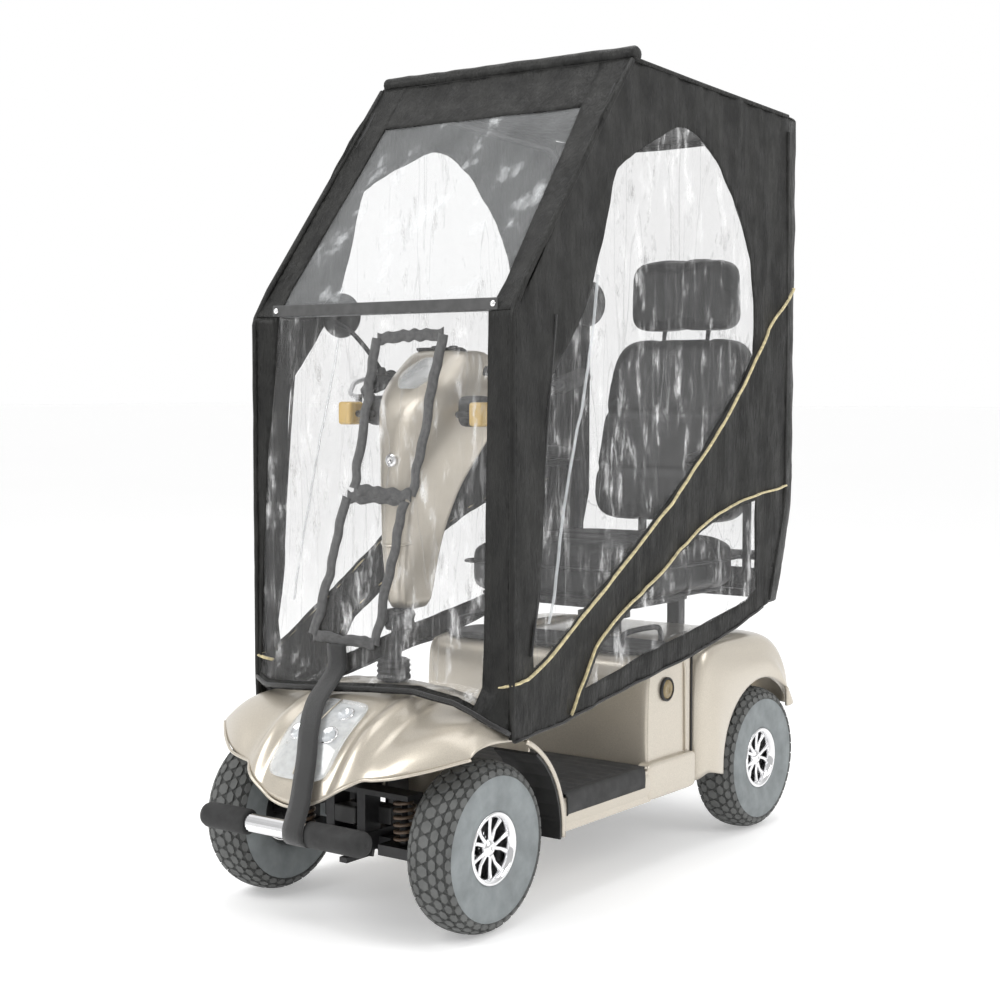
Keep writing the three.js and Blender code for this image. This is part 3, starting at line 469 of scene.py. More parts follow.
PAINT = champagne_paint()
CLOTH = canopy_cloth()
FILM = clear_film()
SLOPING_SHEEN_FILM = sloping_sheen_film()
LENS = lens_film()
PIPING = woven("cream piping", (0.62, 0.53, 0.30))
WEBBING = woven("black webbing", (0.009, 0.009, 0.009), 700)
BINDING = woven("black binding", (0.012, 0.012, 0.012), 700)
GREY_TAPE = woven("grey tape", (0.07, 0.07, 0.07), 700)
BAR = grained("grey bar", (0.06, 0.06, 0.06), 0.5, 900, 0.1)
SIDEWALL = tyre_rubber("grey tyre rubber", (0.225, 0.245, 0.25))
TREAD = tyre_rubber("tread block rubber", (0.115, 0.118, 0.115))
VINYL = grained("grained seat vinyl", (0.016, 0.016, 0.017), 0.45, 700, 0.3)
PLASTIC = grained("black moulding", (0.018, 0.018, 0.018), 0.5, 1300, 0.2)
FOAM = grained("black foam", (0.02, 0.02, 0.02), 0.75, 500, 0.5)
MAT = grained("deck rubber", (0.03, 0.03, 0.03), 0.7, 900, 0.3)
CHROME = polished("chrome", (0.86, 0.86, 0.87))
ALUMINIUM = polished("satin aluminium", (0.62, 0.62, 0.63), 0.3)
STEEL = powder_coat("black powder coat", (0.02, 0.02, 0.021))
BRONZED = powder_coat("bronzed spring steel", (0.11, 0.075, 0.05), 0.35)
AMBER = amber_lens()
REFLECTOR = grained("smoked reflector", (0.20, 0.15, 0.07), 0.2, 300, 0.6)
# The rubber between the tread blocks, darker than the blocks: painted shade in the grooves.
GROOVE_SHADE_RUBBER = tyre_rubber("rubber between tread blocks, painted shade", (0.06, 0.062, 0.06))
SILVER = polished("mirror glass", (0.9, 0.9, 0.9), 0.02)


# ---------- floor, light and camera
FLOOR = 90000           # half the studio floor's width, so that its edge is out of sight
HEADING = radians(36.51)   # which way the camera looks, turned from +Y toward -X


def add_lamp(name, where, size, power):
    """A square lamp that points at the middle of the scooter."""
    light = bpy.data.lights.new(name, "AREA")
    light.energy = power
    light.size = size
    source = bpy.data.objects.new(name, light)
    source.location = where
    source.rotation_euler = (Vector((0, 0, 0.7)) - Vector(where)).to_track_quat("-Z", "Y").to_euler()
    bpy.context.scene.collection.objects.link(source)


def studio():
    corners = [(x * FLOOR, y * FLOOR, -0.6) for x, y in ((-1, -1), (1, -1), (1, 1), (-1, 1))]
    make("studio_floor", corners, [(0, 1, 2, 3)], pale_floor())
    world = bpy.data.worlds.new("studio")
    world.use_nodes = True
    nodes, links = world.node_tree.nodes, world.node_tree.links
    toward_back = nodes.new("ShaderNodeVectorMath")
    toward_back.operation = "DOT_PRODUCT"
    toward_back.inputs[1].default_value = (-sin(HEADING), cos(HEADING), 0)
    links.new(nodes.new("ShaderNodeTexCoord").outputs["Generated"], toward_back.inputs[0])
    shade = nodes.new("ShaderNodeValToRGB")
    for element, spot, grey in zip(shade.color_ramp.elements, (0.1, 0.6), (0.62, 1)):
        element.position = spot
        element.color = (grey, grey, grey, 1)
    links.new(toward_back.outputs["Value"], shade.inputs["Fac"])
    links.new(shade.outputs["Color"], nodes["Background"].inputs["Color"])
    bpy.context.scene.world = world
    add_lamp("key", (-1.6, -3.4, 3.6), 2.4, 110)
    add_lamp("side", (3.6, 0.2, 2.6), 2.2, 55)
    add_lamp("top", (0.2, 0.6, 4.2), 3.0, 60)
    eye = bpy.data.cameras.new("camera")
    eye.lens, eye.sensor_width = 63.27, 36
    camera = bpy.data.objects.new("camera", eye)
    camera.location = (2.1534, -2.9778, 0.9843)
    camera.rotation_euler = (radians(90 - 3.61), 0, HEADING)
    bpy.context.scene.collection.objects.link(camera)
    bpy.context.scene.camera = camera
    bpy.context.scene.view_settings.view_transform = "Standard"


studio()

# ---------- canopy
KNEE_Z = 1124
FRONT_Y = -456          # the front corners
ROOF_FRONT = (-62, 1622)
SIDE_SHAPE = [
    (-456, 352), (-456, 600), (-456, 860), (-456, KNEE_Z), (-430, 1150), (-300, 1328), (-173, 1502),
    (-66, 1618), (-30, 1619), (200, 1606), (400, 1597), (578, 1588), (580, 1400), (583, 1183), (592, 1070),
    (586, 900), (580, 734), (540, 615), (502, 509), (344, 466), (174, 432), (-95, 396), (-302, 364),
    (-382, 353)]
UPPER_WINDOW = soft_outline(
    [(-398, 530), (-380, 601), (-368, 782), (-358, 975), (-322, 1030), (-276, 1083), (-196, 1197),
    (-136, 1379), (-109, 1412), (-47, 1446), (32, 1480), (100, 1508), (160, 1508), (215, 1484), (257, 1459),
    (350, 1364), (404, 1262), (423, 1130), (424, 1058)], 3)
SIDE_WINDOW = UPPER_WINDOW + [
    (379, 1001), (274, 914), (169, 826), (36, 738), (-97, 650), (-232, 568), (-367, 488), (-392, 476)]
PIPING_1 = [
    (610, 1210), (590, 1190), (490, 1114), (379, 993), (169, 818), (-97, 642), (-367, 480), (-439, 456)]
PIPING_2 = [
    (582, 768), (544, 763), (383, 745), (212, 701), (15, 603), (-167, 513), (-240, 424), (-275, 374)]
LOWER_WINDOW = [
    (-228, 418), (-163, 500), (15, 592), (110, 645), (212, 690), (300, 718), (383, 735), (436, 742),
    (440, 640), (441, 545), (410, 526), (215, 491), (96, 473), (-22, 456), (-130, 434)]


def film(name, outline, hang, spacing, material=FILM):
    return cloth(name, outline, [], hang, material, "clear_pvc", spacing, 0.8)


def crumple(u, v, seed, size=6.0):
    """Folds that run mostly up and down, with small creases across them."""
    long_folds = wave(u / 55, v / 260, seed)
    short = wave(u / 26, v / 60, seed + 7)
    return size * (0.75 * long_folds + 0.45 * short)


def side_point(side):
    def hang(y, z):
        edge = min(1.0, (y - FRONT_Y) / 40, (620 - y) / 60)
        pull = 0.25 + 0.75 * max(0.0, edge)
        puff = 5 * sin(pi * min(1, max(0, (z - 350) / 1270)))
        return point(side * (HALF + puff * pull + pull * crumple(y, z, 3 * side)), y, z)
    return hang


def film_point(side):
    def hang(y, z):
        ripple = 5.0 * wave(y / 60, z / 210, 9 + side) + 2.6 * wave(y / 22, z / 48, 4 + side)
        return point(side * (HALF + 2.0 + ripple), y, z)
    return hang


def piping_line(points, side):
    hang = side_point(side)
    return [hang(y, z) + point(side * 3.0, 0, 0) for y, z in soft_outline(points, 8)]


for hand, side in SIDES:
    panel = cloth(
        f"canopy_side_{hand}", SIDE_SHAPE, [SIDE_WINDOW, LOWER_WINDOW], side_point(side), CLOTH,
        "canopy_fabric", 13, 2.2)
    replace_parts(panel, f"side_panel_{hand}")
    film(f"side_window_{hand}", SIDE_WINDOW, film_point(side), 15)
    film(f"lower_window_{hand}", LOWER_WINDOW, film_point(side), 15)
    for number, points in ((1, PIPING_1), (2, PIPING_2)):
        line = piping_line(points, side)
        if number == 1:
            line += mirrored(side, ((316, -460, 455), (296, -460, 450), (272, -460, 448)))
        place(pipe(f"piping_{number}_{hand}", line, 4.2, PIPING, 8, 0.6), "canopy_fabric")

# Front face below the bar.
HEM = [(-327, 405), (-244, 393), (-143, 399), (27, 413), (124, 419), (218, 407), (257, 393), (324, 353)]
FRONT_TOP_Y = -434      # the film just behind the bar
CURTAIN_RUN = 38 / 680  # how far the curtain leans forward for each unit it falls
DRAPE_Z = 445


def front_point(x, z, lift=0.0):
    middle = FRONT_TOP_Y - (KNEE_Z - max(z, DRAPE_Z)) * CURTAIN_RUN
    fall = max(0.0, DRAPE_Z - z)
    corner = min(1.0, abs(x) / 312) ** 4
    y = lerp(middle - 1.25 * fall, FRONT_Y, corner)
    height = lerp(z + 0.25 * fall, z, corner)
    return point(x, y - lift, height)


def front_cloth(x, z):
    return front_point(x, z, 2.0 + 0.5 * crumple(x, z, 21, 5.0))


def front_film(x, z):
    ripple = 4.5 * wave(x / 75, z / 230, 2) + 2.6 * wave(x / 30, z / 55, 12)
    fade = min(1.0, (KNEE_Z - z) / 120)
    return front_point(x, z, 1.0 + ripple * fade)


front_inner = [(x, along(HEM, x) + 17) for x in (-304, -244, -143, 27, 124, 218, 254)]
front_hole = front_inner + [
    (257, 600), (256, 900), (254, KNEE_Z), (-262, KNEE_Z), (-272, 960), (-280, 884), (-296, 650)]
left_end, right_end = front_inner[-1], front_inner[0]


def hem_strip(x_from, x_to):
    """The hem between two places, 17 mm deep."""
    spots = [x_from] + [
        x for x in (-244, -190, -143, -60, 27, 75, 124, 170, 218) if x_from < x < x_to] + [x_to]
    return [(x, along(HEM, x)) for x in spots] + [(x, along(HEM, x) + 17) for x in reversed(spots)]


strips("canopy_front_border", [
    [(254, along(HEM, 254)), (290, along(HEM, 290)), (314, along(HEM, 314)), (314, 700), (314, KNEE_Z),
     (254, KNEE_Z), (256, 900), (257, 600), left_end],
    [(-314, along(HEM, -314)), (-304, along(HEM, -304)), right_end, (-296, 650), (-280, 884), (-272, 960),
     (-262, KNEE_Z), (-314, KNEE_Z), (-314, 700)]], front_cloth, 12)
strips("canopy_front_hem", [hem_strip(-304, 27), hem_strip(27, 254)], front_cloth, 12, 1.46)
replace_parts(film("windscreen_curtain", front_hole, front_film, 14), "windscreen_lower")


# Sloping windscreen above the bar; its flat cut starts at the bar and runs up to the roof.
SET_BACK = 20           # of the sloping film from its front corners, at the bar
SLOPE_LENGTH = dist((FRONT_Y, KNEE_Z), ROOF_FRONT)


def slope_point(x, run, lift=0.0):
    share = run / SLOPE_LENGTH
    middle = lerp(FRONT_Y + SET_BACK, ROOF_FRONT[0], share)
    y = lerp(middle, lerp(FRONT_Y, ROOF_FRONT[0], share), min(1.0, abs(x) / 312) ** 4)
    z = lerp(KNEE_Z, ROOF_FRONT[1], share)
    return point(x, y - lift * 0.78, z + lift * 0.62)


def slope_cloth(x, run):
    return slope_point(x, run, 1.5 + 0.6 * crumple(x, run, 33, 5.0))


def slope_film(x, run):
    return slope_point(x, run, 2.2 * wave(x / 120, run / 160, 5))


top = SLOPE_LENGTH
low = top - 125         # the lower edge of the cloth above the film
slope_hole = [(-262, 0), (258, 0), (264, 70), (256, top * 0.4), (246, low), (-246, low), (-256, top * 0.4),
              (-266, 70)]
strips("canopy_slope_border", [
    [(258, 0), (314, 0), (314, top * 0.5), (314, top), (246, top), (246, low), (256, top * 0.4), (264, 70)],
    [(-262, 0), (-266, 70), (-256, top * 0.4), (-246, low), (-246, top), (-314, top), (-314, top * 0.5),
     (-314, 0)],
    [(-246, low), (246, low), (246, top), (-246, top)]], slope_cloth)
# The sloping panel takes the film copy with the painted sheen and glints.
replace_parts(film("windscreen_panel", slope_hole, slope_film, 18, SLOPING_SHEEN_FILM), "windscreen_upper")

# Roof, rear bow and visor.
REAR_PLAN = [(HALF, 578), (310, 622), (290, 668), (252, 702), (192, 728), (95, 741), (0, 742)]
rear_line = smooth_line([(x, y, 0) for x, y in REAR_PLAN], 5)
rear_line = rear_line + [point(-p.x, p.y, 0) for p in reversed(rear_line[:-1])]
rear_steps = [0.0]
for a, b in zip(rear_line, rear_line[1:]):
    rear_steps.append(rear_steps[-1] + (b - a).length)
REAR_LENGTH = rear_steps[-1]


def rear_point(run, z, lift=0.0):
    x = along(list(zip(rear_steps, [p.x for p in rear_line])), run)
    y = along(list(zip(rear_steps, [p.y for p in rear_line])), run)
    tuck = 72 * min(1.0, max(0.0, (734 - z) / 225))
    away = Vector((x / 400, (y - 560) / 190, 0)).normalized()
    return point(x, y - tuck, z) + away * lift


def rear_cloth(run, z):
    pull = min(1.0, run / 40, (REAR_LENGTH - run) / 40)
    return rear_point(run, z, -2 + pull * crumple(run, z, 41, 5.0))


def rear_film(run, z):
    return rear_point(run, z, -2 + 3.5 * wave(run / 60, z / 200, 8))


middle_run = REAR_LENGTH / 2
WINDOW_RUN = 292        # half the rear window's width along the bowed back
rear_window = [(middle_run + dx, z) for dx, z in (
    (-292, 566), (0, 566), (292, 566), (292, 900), (292, 1466), (278, 1526), (236, 1564), (0, 1566),
    (-236, 1564), (-278, 1526), (-292, 1466), (-292, 900))]
near, far = middle_run - WINDOW_RUN, middle_run + WINDOW_RUN
strips("canopy_back", [
    [(0, 509), (near, 509), (near, 900), (near, 1466), (near + 14, 1526), (near + 56, 1564),
     (near + 56, 1586), (0, 1586), (0, 1000)],
    [(far, 509), (REAR_LENGTH, 509), (REAR_LENGTH, 1000), (REAR_LENGTH, 1586), (far - 56, 1586),
     (far - 56, 1564), (far - 14, 1526), (far, 1466), (far, 900)],
    [(near, 509), (middle_run, 509), (far, 509), (far, 566), (middle_run, 566), (near, 566)],
    [(near + 56, 1564), (middle_run, 1566), (far - 56, 1564), (far - 56, 1586), (middle_run, 1586),
     (near + 56, 1586)]], rear_cloth, 15)
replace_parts(film("rear_window", rear_window, rear_film, 18), "canopy_rear")


def roof_point(x, y):
    fall = along([(-66, 1621), (199, 1607), (584, 1589), (742, 1581)], y)
    crown = 7 * (1 - (x / 316) ** 2) * sin(pi * min(1, max(0, (y + 66) / 800)))
    return point(x, y, fall + crown + 0.45 * crumple(x, y, 52, 5.0))


roof_shape = [
    (-HALF, -66), (0, -66), (HALF, -66), (HALF, 250)] + [(p.x, p.y) for p in rear_line] + [(-HALF, 250)]
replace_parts(cloth("canopy_top", roof_shape, [], roof_point, CLOTH, "canopy_fabric", 18, 2.2), "canopy_roof")


def visor():
    """A rolled flap across the front of the roof."""
    rows = []
    for i in range(49):
        x = lerp(-318, 318, i / 48)
        sag = 2.5 * wave(x / 60, 0, 3)
        ring = []
        for k in range(14):
            a = tau * k / 14
            ring.append(point(x, -47 + 20 * cos(a) + 2 * wave(x / 30, k, 2),
                              1632 + 17 * sin(a) + sag + 2 * wave(x / 24, k, 6)))
        rows.append(ring)
    return subdivide(grid("visor_roll", rows, CLOTH, round_columns=True, caps=True), 1)


place(visor(), "canopy_fabric")

# Bindings that cover the corners where the panels are sewn together.
for hand, side in SIDES:
    corner = [point(side * 314, FRONT_Y - 1, 356)] + [
        point(side * (315 + 2 * wave(z / 60, side, 1)), FRONT_Y - 2, z) for z in range(420, 1120, 30)]
    corner += [point(side * 315, FRONT_Y + 2, KNEE_Z)]
    corner += [
        point(side * 315, lerp(FRONT_Y, -66, t), lerp(KNEE_Z + 8, 1618, t))
        for t in (0.1, 0.3, 0.5, 0.7, 0.9, 1)]
    place(pipe(f"corner_seam_{hand}", corner, 6, CLOTH, 8), "canopy_fabric")
    eave = [
        point(side * 315, y, along([(-66, 1621), (199, 1607), (584, 1589)], y))
        for y in range(-60, 600, 40)]
    place(pipe(f"eave_seam_{hand}", eave, 5, CLOTH, 8), "canopy_fabric")
    rear_seam = [
        rear_point(2, z, 2) if side > 0 else rear_point(REAR_LENGTH - 2, z, 2)
        for z in range(515, 1590, 40)]
    place(pipe(f"rear_seam_{hand}", rear_seam, 5, CLOTH, 8), "canopy_fabric")
    skirt_line = [(-456, 350), (-302, 364), (-95, 396), (174, 432), (344, 466), (502, 509)]
    skirt = [side_point(side)(y, along(skirt_line, y)) for y in range(-450, 500, 30)]
    place(pipe(f"skirt_binding_{hand}", skirt, 4.5, BINDING, 8, 0.6), "canopy_fabric")
    zipper = [
        film_point(side)(y, z) + point(side * 3, 0, 0)
        for y, z in ((-402, 500), (-386, 601), (-368, 782), (-351, 964), (-330, 1120))]
    place(pipe(f"zip_{hand}", smooth_line(zipper, 6), 3.2, BINDING, 6), "webbing")
    # A seam in the side film, drawn in the milky lens finish so that it shows as a light line: the seam is
    # real, its light grey is a painted highlight.
    seam = soft_outline([(-349, 554), (-312, 700), (-276, 853), (-240, 968), (-207, 1077), (-190, 1200)], 8)
    film_seam_highlight = [film_point(side)(y, z) + point(side * 2.5, 0, 0) for y, z in seam]
    place(pipe(f"film_seam_highlight_{hand}", film_seam_highlight, 3.4, LENS, 6, 0.5), "clear_pvc")
hem = [front_cloth(x, along(HEM, x) + 6) + point(0, -3, 0) for x in range(-312, 313, 24)]
place(pipe("front_hem", hem, 6.5, BINDING, 8, 0.6), "canopy_fabric")


# ---------- webbing on the curtain, and the strap
TAPE_WIDTH = 22
TAPE_SWAY = 7
STRAP_WIDTH = 48


def band(name, line, lift):
    """Tape sewn to the front film along a line of flat-cut points, slightly uneven."""
    line = smooth_line([(u, v, 0) for u, v in line], 10)
    rows = []
    for i, p in enumerate(line):
        tangent = (line[min(i + 1, len(line) - 1)] - line[max(i - 1, 0)]).normalized()
        across = Vector((-tangent.y, tangent.x, 0)) * TAPE_WIDTH / 2
        sway = across.normalized() * TAPE_SWAY * wave(i / 5.0, p.x / 90, p.y / 90)
        row = []
        for k in (-1, -0.33, 0.33, 1):
            q = p + across * k + sway
            row.append(front_film(q.x, q.y) - point(0, lift, 0))
        rows.append(row)
    return place(thicken(grid(name, rows, GREY_TAPE), 1.6), "webbing")


def loop(name, corners):
    ends = corners[1:] + corners[:1]
    for i, (a, b) in enumerate(zip(corners, ends)):
        middle = [(lerp(a[0], b[0], t), lerp(a[1], b[1], t)) for t in (0.0, 0.25, 0.5, 0.75, 1.0)]
        band(f"{name}_{i + 1}", middle, 3.2 + 0.3 * i)


loop("webbing_loop_upper", [(-12, 1080), (147, 1085), (82, 786), (-56, 796)])
loop("webbing_loop_lower", [(-74, 778), (66, 776), (5, 503), (-150, 509)])

STRAP = [
    (-87, -478, 496), (-78, -486, 458), (-64, -524, 434), (-36, -590, 409), (0, -650, 368), (28, -690, 314),
    (38, -714, 262), (43, -735, 224), (45, -744, 205), (45, -742, 190), (45, -728, 178), (45, -708, 182),
    (45, -698, 198)]


def strap():
    line = smooth_line(STRAP, 6)
    rows = []
    for i, p in enumerate(line):
        curl = 1.2 * wave(i / 6, 1, 2)
        rows.append(
            [p + point(k * STRAP_WIDTH / 2, -1.5 * (1 - abs(k)) + curl, 0.5)
            for k in (-1, -0.5, 0, 0.5, 1)])
    return thicken(grid("strap", rows, WEBBING), 2)


strap_piece = place(strap(), "webbing", "hold_down_strap")


# ---------- front cowl
COWL = [
    (0, [(-388, 427), (-470, 424), (-555, 406), (-620, 376), (-665, 332), (-694, 282), (-706, 240)]),
    (40, [(-388, 427), (-470, 424), (-555, 405), (-620, 375), (-665, 330), (-693, 282), (-705, 247)]),
    (72, [(-388, 425), (-470, 422), (-550, 401), (-612, 369), (-655, 327), (-684, 286), (-698, 260)]),
    (82, [(-388, 423), (-470, 417), (-549, 394), (-609, 362), (-651, 322), (-680, 284), (-695, 264)]),
    (100, [(-388, 423), (-470, 425), (-555, 407), (-618, 376), (-660, 336), (-682, 301), (-694, 276)]),
    (120, [(-388, 422), (-468, 424), (-548, 405), (-608, 376), (-648, 341), (-672, 309), (-682, 288)]),
    (138, [(-388, 418), (-460, 408), (-535, 384), (-590, 356), (-630, 330), (-655, 311), (-664, 298)]),
    (160, [(-388, 413), (-452, 405), (-520, 388), (-576, 366), (-618, 338), (-646, 315), (-658, 300)]),
    (200, [(-388, 405), (-440, 404), (-500, 395), (-555, 381), (-600, 360), (-632, 332), (-648, 307)]),
    (250, [(-388, 385), (-430, 396), (-480, 398), (-530, 390), (-570, 372), (-600, 344), (-612, 320)]),
    (285, [(-388, 360), (-425, 378), (-465, 385), (-510, 382), (-545, 370), (-572, 350), (-580, 332)]),
    (303, [(-388, 343), (-425, 347), (-465, 352), (-505, 354), (-535, 352), (-556, 346), (-562, 338)])]


def cowl_rows(stations):
    across = [(-x, line) for x, line in reversed(stations[1:])] + stations
    rows = []
    for k in range(len(stations[0][1])):
        rows.append([point(x, *line[k]) for x, line in across])
    return rows


cowl = orient_up(grid("cowl", cowl_rows(COWL), PAINT))
subdivide(cowl, 2)
thicken(cowl, 4, -1)
place(cowl, "body_paint", "front_cowl")

lens_rows = [[p + point(0, -2.6, 3.6) for p in row] for row in cowl_rows(COWL[:3])[2:6]]
lens = orient_up(grid("cowl_lens", lens_rows, LENS))
subdivide(lens, 2)
place(thicken(lens, 2, 1), "clear_pvc")
for hand, side in SIDES:
    for row, (y, z, size) in enumerate(((-588, 391, 15), (-634, 360, 17))):
        bowl = turned(f"lamp_bowl_{hand}_{row + 1}", [
            (0.1, 1), (size * 0.7, 2), (size, 6), (size + 2, 6), (size + 2, 3), (size, 0), (0.1, -2)],
            (0, 0, 0), CHROME, 32, "Z")
        bowl.location = (side * 0.036, (y - 1) * MM, (z - 3) * MM)
        bowl.rotation_euler = (radians(42 if row else 30), 0, 0)
        place(bowl, "bumper_chrome")
seam_line = [point(0, y - 3.4, z + 5) for y, z in (
    (-556, 406), (-588, 392), (-620, 376), (-645, 354), (-665, 332), (-690, 290))]
place(pipe("lens_seam", seam_line, 1.6, PAINT, 8), "body_paint")
edge = [p + point(0, -1, -2) for p in cowl_rows([row for row in COWL if row[0] != 82])[-1]]
place(pipe("cowl_lip", smooth_line(edge, 4), 3.0, PAINT, 8), "body_paint")


# ---------- wheels
def tyre_shoulder(a):
    """Radius and sideways place on the tyre's section, at an angle from its crown."""
    c, s = max(0.0, cos(a)), sin(a)
    return 112 + (TYRE_RADIUS - 4.4 - 112) * c ** 0.62, 47.5 * copysign(abs(s) ** 0.8, s)


def wheel_point(centre, side, r, x, a):
    return point(side * x, r * cos(a), r * sin(a)) + Vector(centre)


def tyre_body(name, centre, side):
    profile = [(68, 41), (72, 42.5), (80, 43.5), (84, 45.5), (96, 47), (108, 47.5)]
    profile += [tyre_shoulder(radians(d)) for d in range(84, -85, -12)]
    profile += [(108, -47.5), (90, -46), (72, -42), (66, -36), (64.5, -20), (64.5, 20), (66, 36)]
    piece = turned(name, profile, centre, SIDEWALL, 72, "X", side)
    # The crown faces between the tread blocks take the darker rubber, as painted shade in the grooves.
    piece.data.materials.append(GROOVE_SHADE_RUBBER)
    for face in piece.data.polygons:
        spot = face.center / MM - Vector(centre)
        if hypot(spot.y, spot.z) > 128:
            face.material_index = 1
    return piece


TREAD_ROWS = (-62, -40, -20, 0, 20, 40, 62)      # degrees around the section, from its crown
TREAD_COUNT, TREAD_HEIGHT = 38, 3.4


def tread(name, centre, side):
    verts, faces = [], []
    for row, degrees in enumerate(TREAD_ROWS):
        for k in range(TREAD_COUNT):
            spin = tau * (k + 0.5 * (row % 2)) / TREAD_COUNT
            start = len(verts)
            for level, shrink in ((-1.5, 1.0), (TREAD_HEIGHT, 0.9)):
                for corner in range(6):
                    b = tau * corner / 6
                    a = radians(degrees + 10.6 * shrink * sin(b))
                    r, x = tyre_shoulder(a)
                    out = cos(a * 0.9)
                    verts.append(wheel_point(centre, side, r + level * out, x + level * sin(a * 0.9),
                                             spin + 0.084 * shrink * cos(b)))
            faces += [tuple(start + i for i in range(6)), tuple(start + 6 + i for i in range(6))]
            faces += [
                (start + i, start + (i + 1) % 6, start + 6 + (i + 1) % 6, start + 6 + i) for i in range(6)]
    piece = outward(make(name, verts, faces, TREAD, smooth=False))
    return bevel(piece, 0.7, 1)


def wheel_disc(name, centre, side):
    rim = turned(f"{name}_ring", [(66, 36), (67.5, 41), (65, 43), (60, 42), (56, 36), (54, 24), (54, -24),
                                  (60, -27), (64, -27), (64, 34)], centre, CHROME, 64, "X", side)
    dish = turned(f"{name}_dish", [(9.6, 6), (53.6, 6), (53.6, 0), (9.6, 0)], centre, PLASTIC, 40, "X", side)
    hub = turned(f"{name}_hub", [(0.1, 37), (9, 36), (14, 33), (17, 29), (18, 8), (9.6, 8), (9.6, 26),
                                 (0.1, 28)], centre, CHROME, 40, "X", side)
    pieces = [rim, dish, hub]
    verts, faces = [], []
    for k in range(5):
        for branch in (-1, 1):
            a0 = tau * k / 5 + branch * 0.16
            a1 = tau * k / 5 + branch * 0.30
            start = len(verts)
            for r, a, width, front, back in (
                    (15, a0, 4.6, 32, 14), (36, lerp(a0, a1, 0.5), 4.0, 30, 16), (56, a1, 5.4, 33, 18)):
                for x, w in ((front, width * 0.75), (front - 3, width), (back, width * 0.8)):
                    verts += [wheel_point(centre, side, r, x, a + sign * w / r) for sign in (-1, 1)]
            faces += [
                (start + s + i, start + s + j, start + s + 6 + j, start + s + 6 + i) for s in (0, 6)
                for i, j in ((0, 2), (2, 4), (4, 5), (5, 3), (3, 1), (1, 0))]
            faces += [tuple(start + s + i for i in (0, 2, 4, 5, 3, 1)) for s in (0, 12)]
    spokes = outward(make(f"{name}_spokes", verts, faces, CHROME))
    pieces.append(bevel(spokes, 1.2, 2, 30))
    for k in range(5):
        a = tau * (k + 0.5) / 5
        spot = Vector(centre) + point(0, 24 * cos(a), 24 * sin(a))
        pieces.append(
            turned(f"{name}_nut_{k + 1}", [(0.1, 14), (3.6, 13), (4.4, 10), (4.4, 6), (0.1, 6)], spot,
            CHROME, 6, "X", side))
    return pieces


for end, axle_y, track in (("front", FRONT_AXLE_Y, 249), ("rear", REAR_AXLE_Y, 259)):
    for hand, side in SIDES:
        body = f"wheel_{end}_{hand}"
        centre = (side * track, axle_y, WHEEL_Z)
        tyre = tyre_body(f"tyre_skin_{end}_{hand}", centre, side)
        place(tyre, "tyre", f"tyre_{end}_{hand}", body=body)
        place(tread(f"tread_{end}_{hand}", centre, side), "tyre", body=body)
        ring, *others = wheel_disc(body, centre, side)
        place(ring, "wheel_chrome", f"rim_{end}_{hand}", body=body)
        for piece in others:
            place(piece, "wheel_chrome", body=body)


# ---------- bumper
def foam_sleeve(name, x0, x1):
    profile = [
        (17.3, x0), (21, x0), (23.4, x0 + 3), (23.6, lerp(x0, x1, 0.5)), (23.4, x1 - 12), (20, x1 - 4),
        (12, x1), (0.5, x1 + 0.5), (0.5, x1 - 5), (17.3, x1 - 5)]
    return turned(name, [(r, abs(x)) for r, x in profile], (0, -719, 200), FOAM, 40, "X", 1)


left_foam = foam_sleeve("bumper_foam_left", 62, 195.5)
place(left_foam, "foam", "bumper_pad_left")
right_foam = foam_sleeve("bumper_foam_right", 83, 195.5)
for vertex in right_foam.data.vertices:
    vertex.co.x = -vertex.co.x
right_foam.data.flip_normals()
place(right_foam, "foam", "bumper_pad_right")


# ---------- padded blocks
def superbox(
        name, low, high, material, corner=0.42, crown=0.0, lean=0.0, taper=1.0, pinch=0.0, steps=(28, 20),
        plan=None):
    """A padded block: a rounded box with a crowned face, that can lean back and narrow upward."""
    low, high = Vector(low), Vector(high)
    centre, size = (low + high) / 2, (high - low) / 2
    around, up = steps
    plan = plan or corner

    def power(value, exponent):
        return copysign(abs(value) ** exponent, value)

    rows = []
    for i in range(1, up):
        v = pi * (i / up - 0.5)
        out = power(cos(v), corner)
        ring = []
        for k in range(around):
            u = tau * k / around
            p = point(out * power(cos(u), plan), out * power(sin(u), plan), power(sin(v), corner))
            q = point(p.x * size.x, p.y * size.y, p.z * size.z)
            rise = (p.z + 1) / 2
            q.x *= lerp(1.0, taper, rise) * (1 - pinch * (1 - p.z * p.z))
            q.z += crown * (1 - p.x * p.x) * (1 - p.y * p.y) * max(0, p.z)
            q.y += lean * (q.z + size.z)
            ring.append(centre + q)
        rows.append(ring)
    return grid(name, rows, material, round_columns=True, caps=True)


# ---------- tiller
FAIRING = [
    (556, 22, 31, -409, -331), (600, 24, 36, -414, -327), (660, 29, 45, -421, -320),
    (700, 31, 52, -422, -314), (760, 34, 68, -422, -298), (800, 37, 82, -420, -288),
    (850, 42, 116, -415, -274), (900, 47, 150, -408, -262), (935, 52, 168, -401, -252),
    (960, 56, 174, -392, -244), (985, 60, 168, -372, -238), (1005, 62, 152, -350, -233),
    (1030, 64, 124, -318, -225), (1050, 62, 100, -292, -222), (1062, 52, 78, -276, -226)]


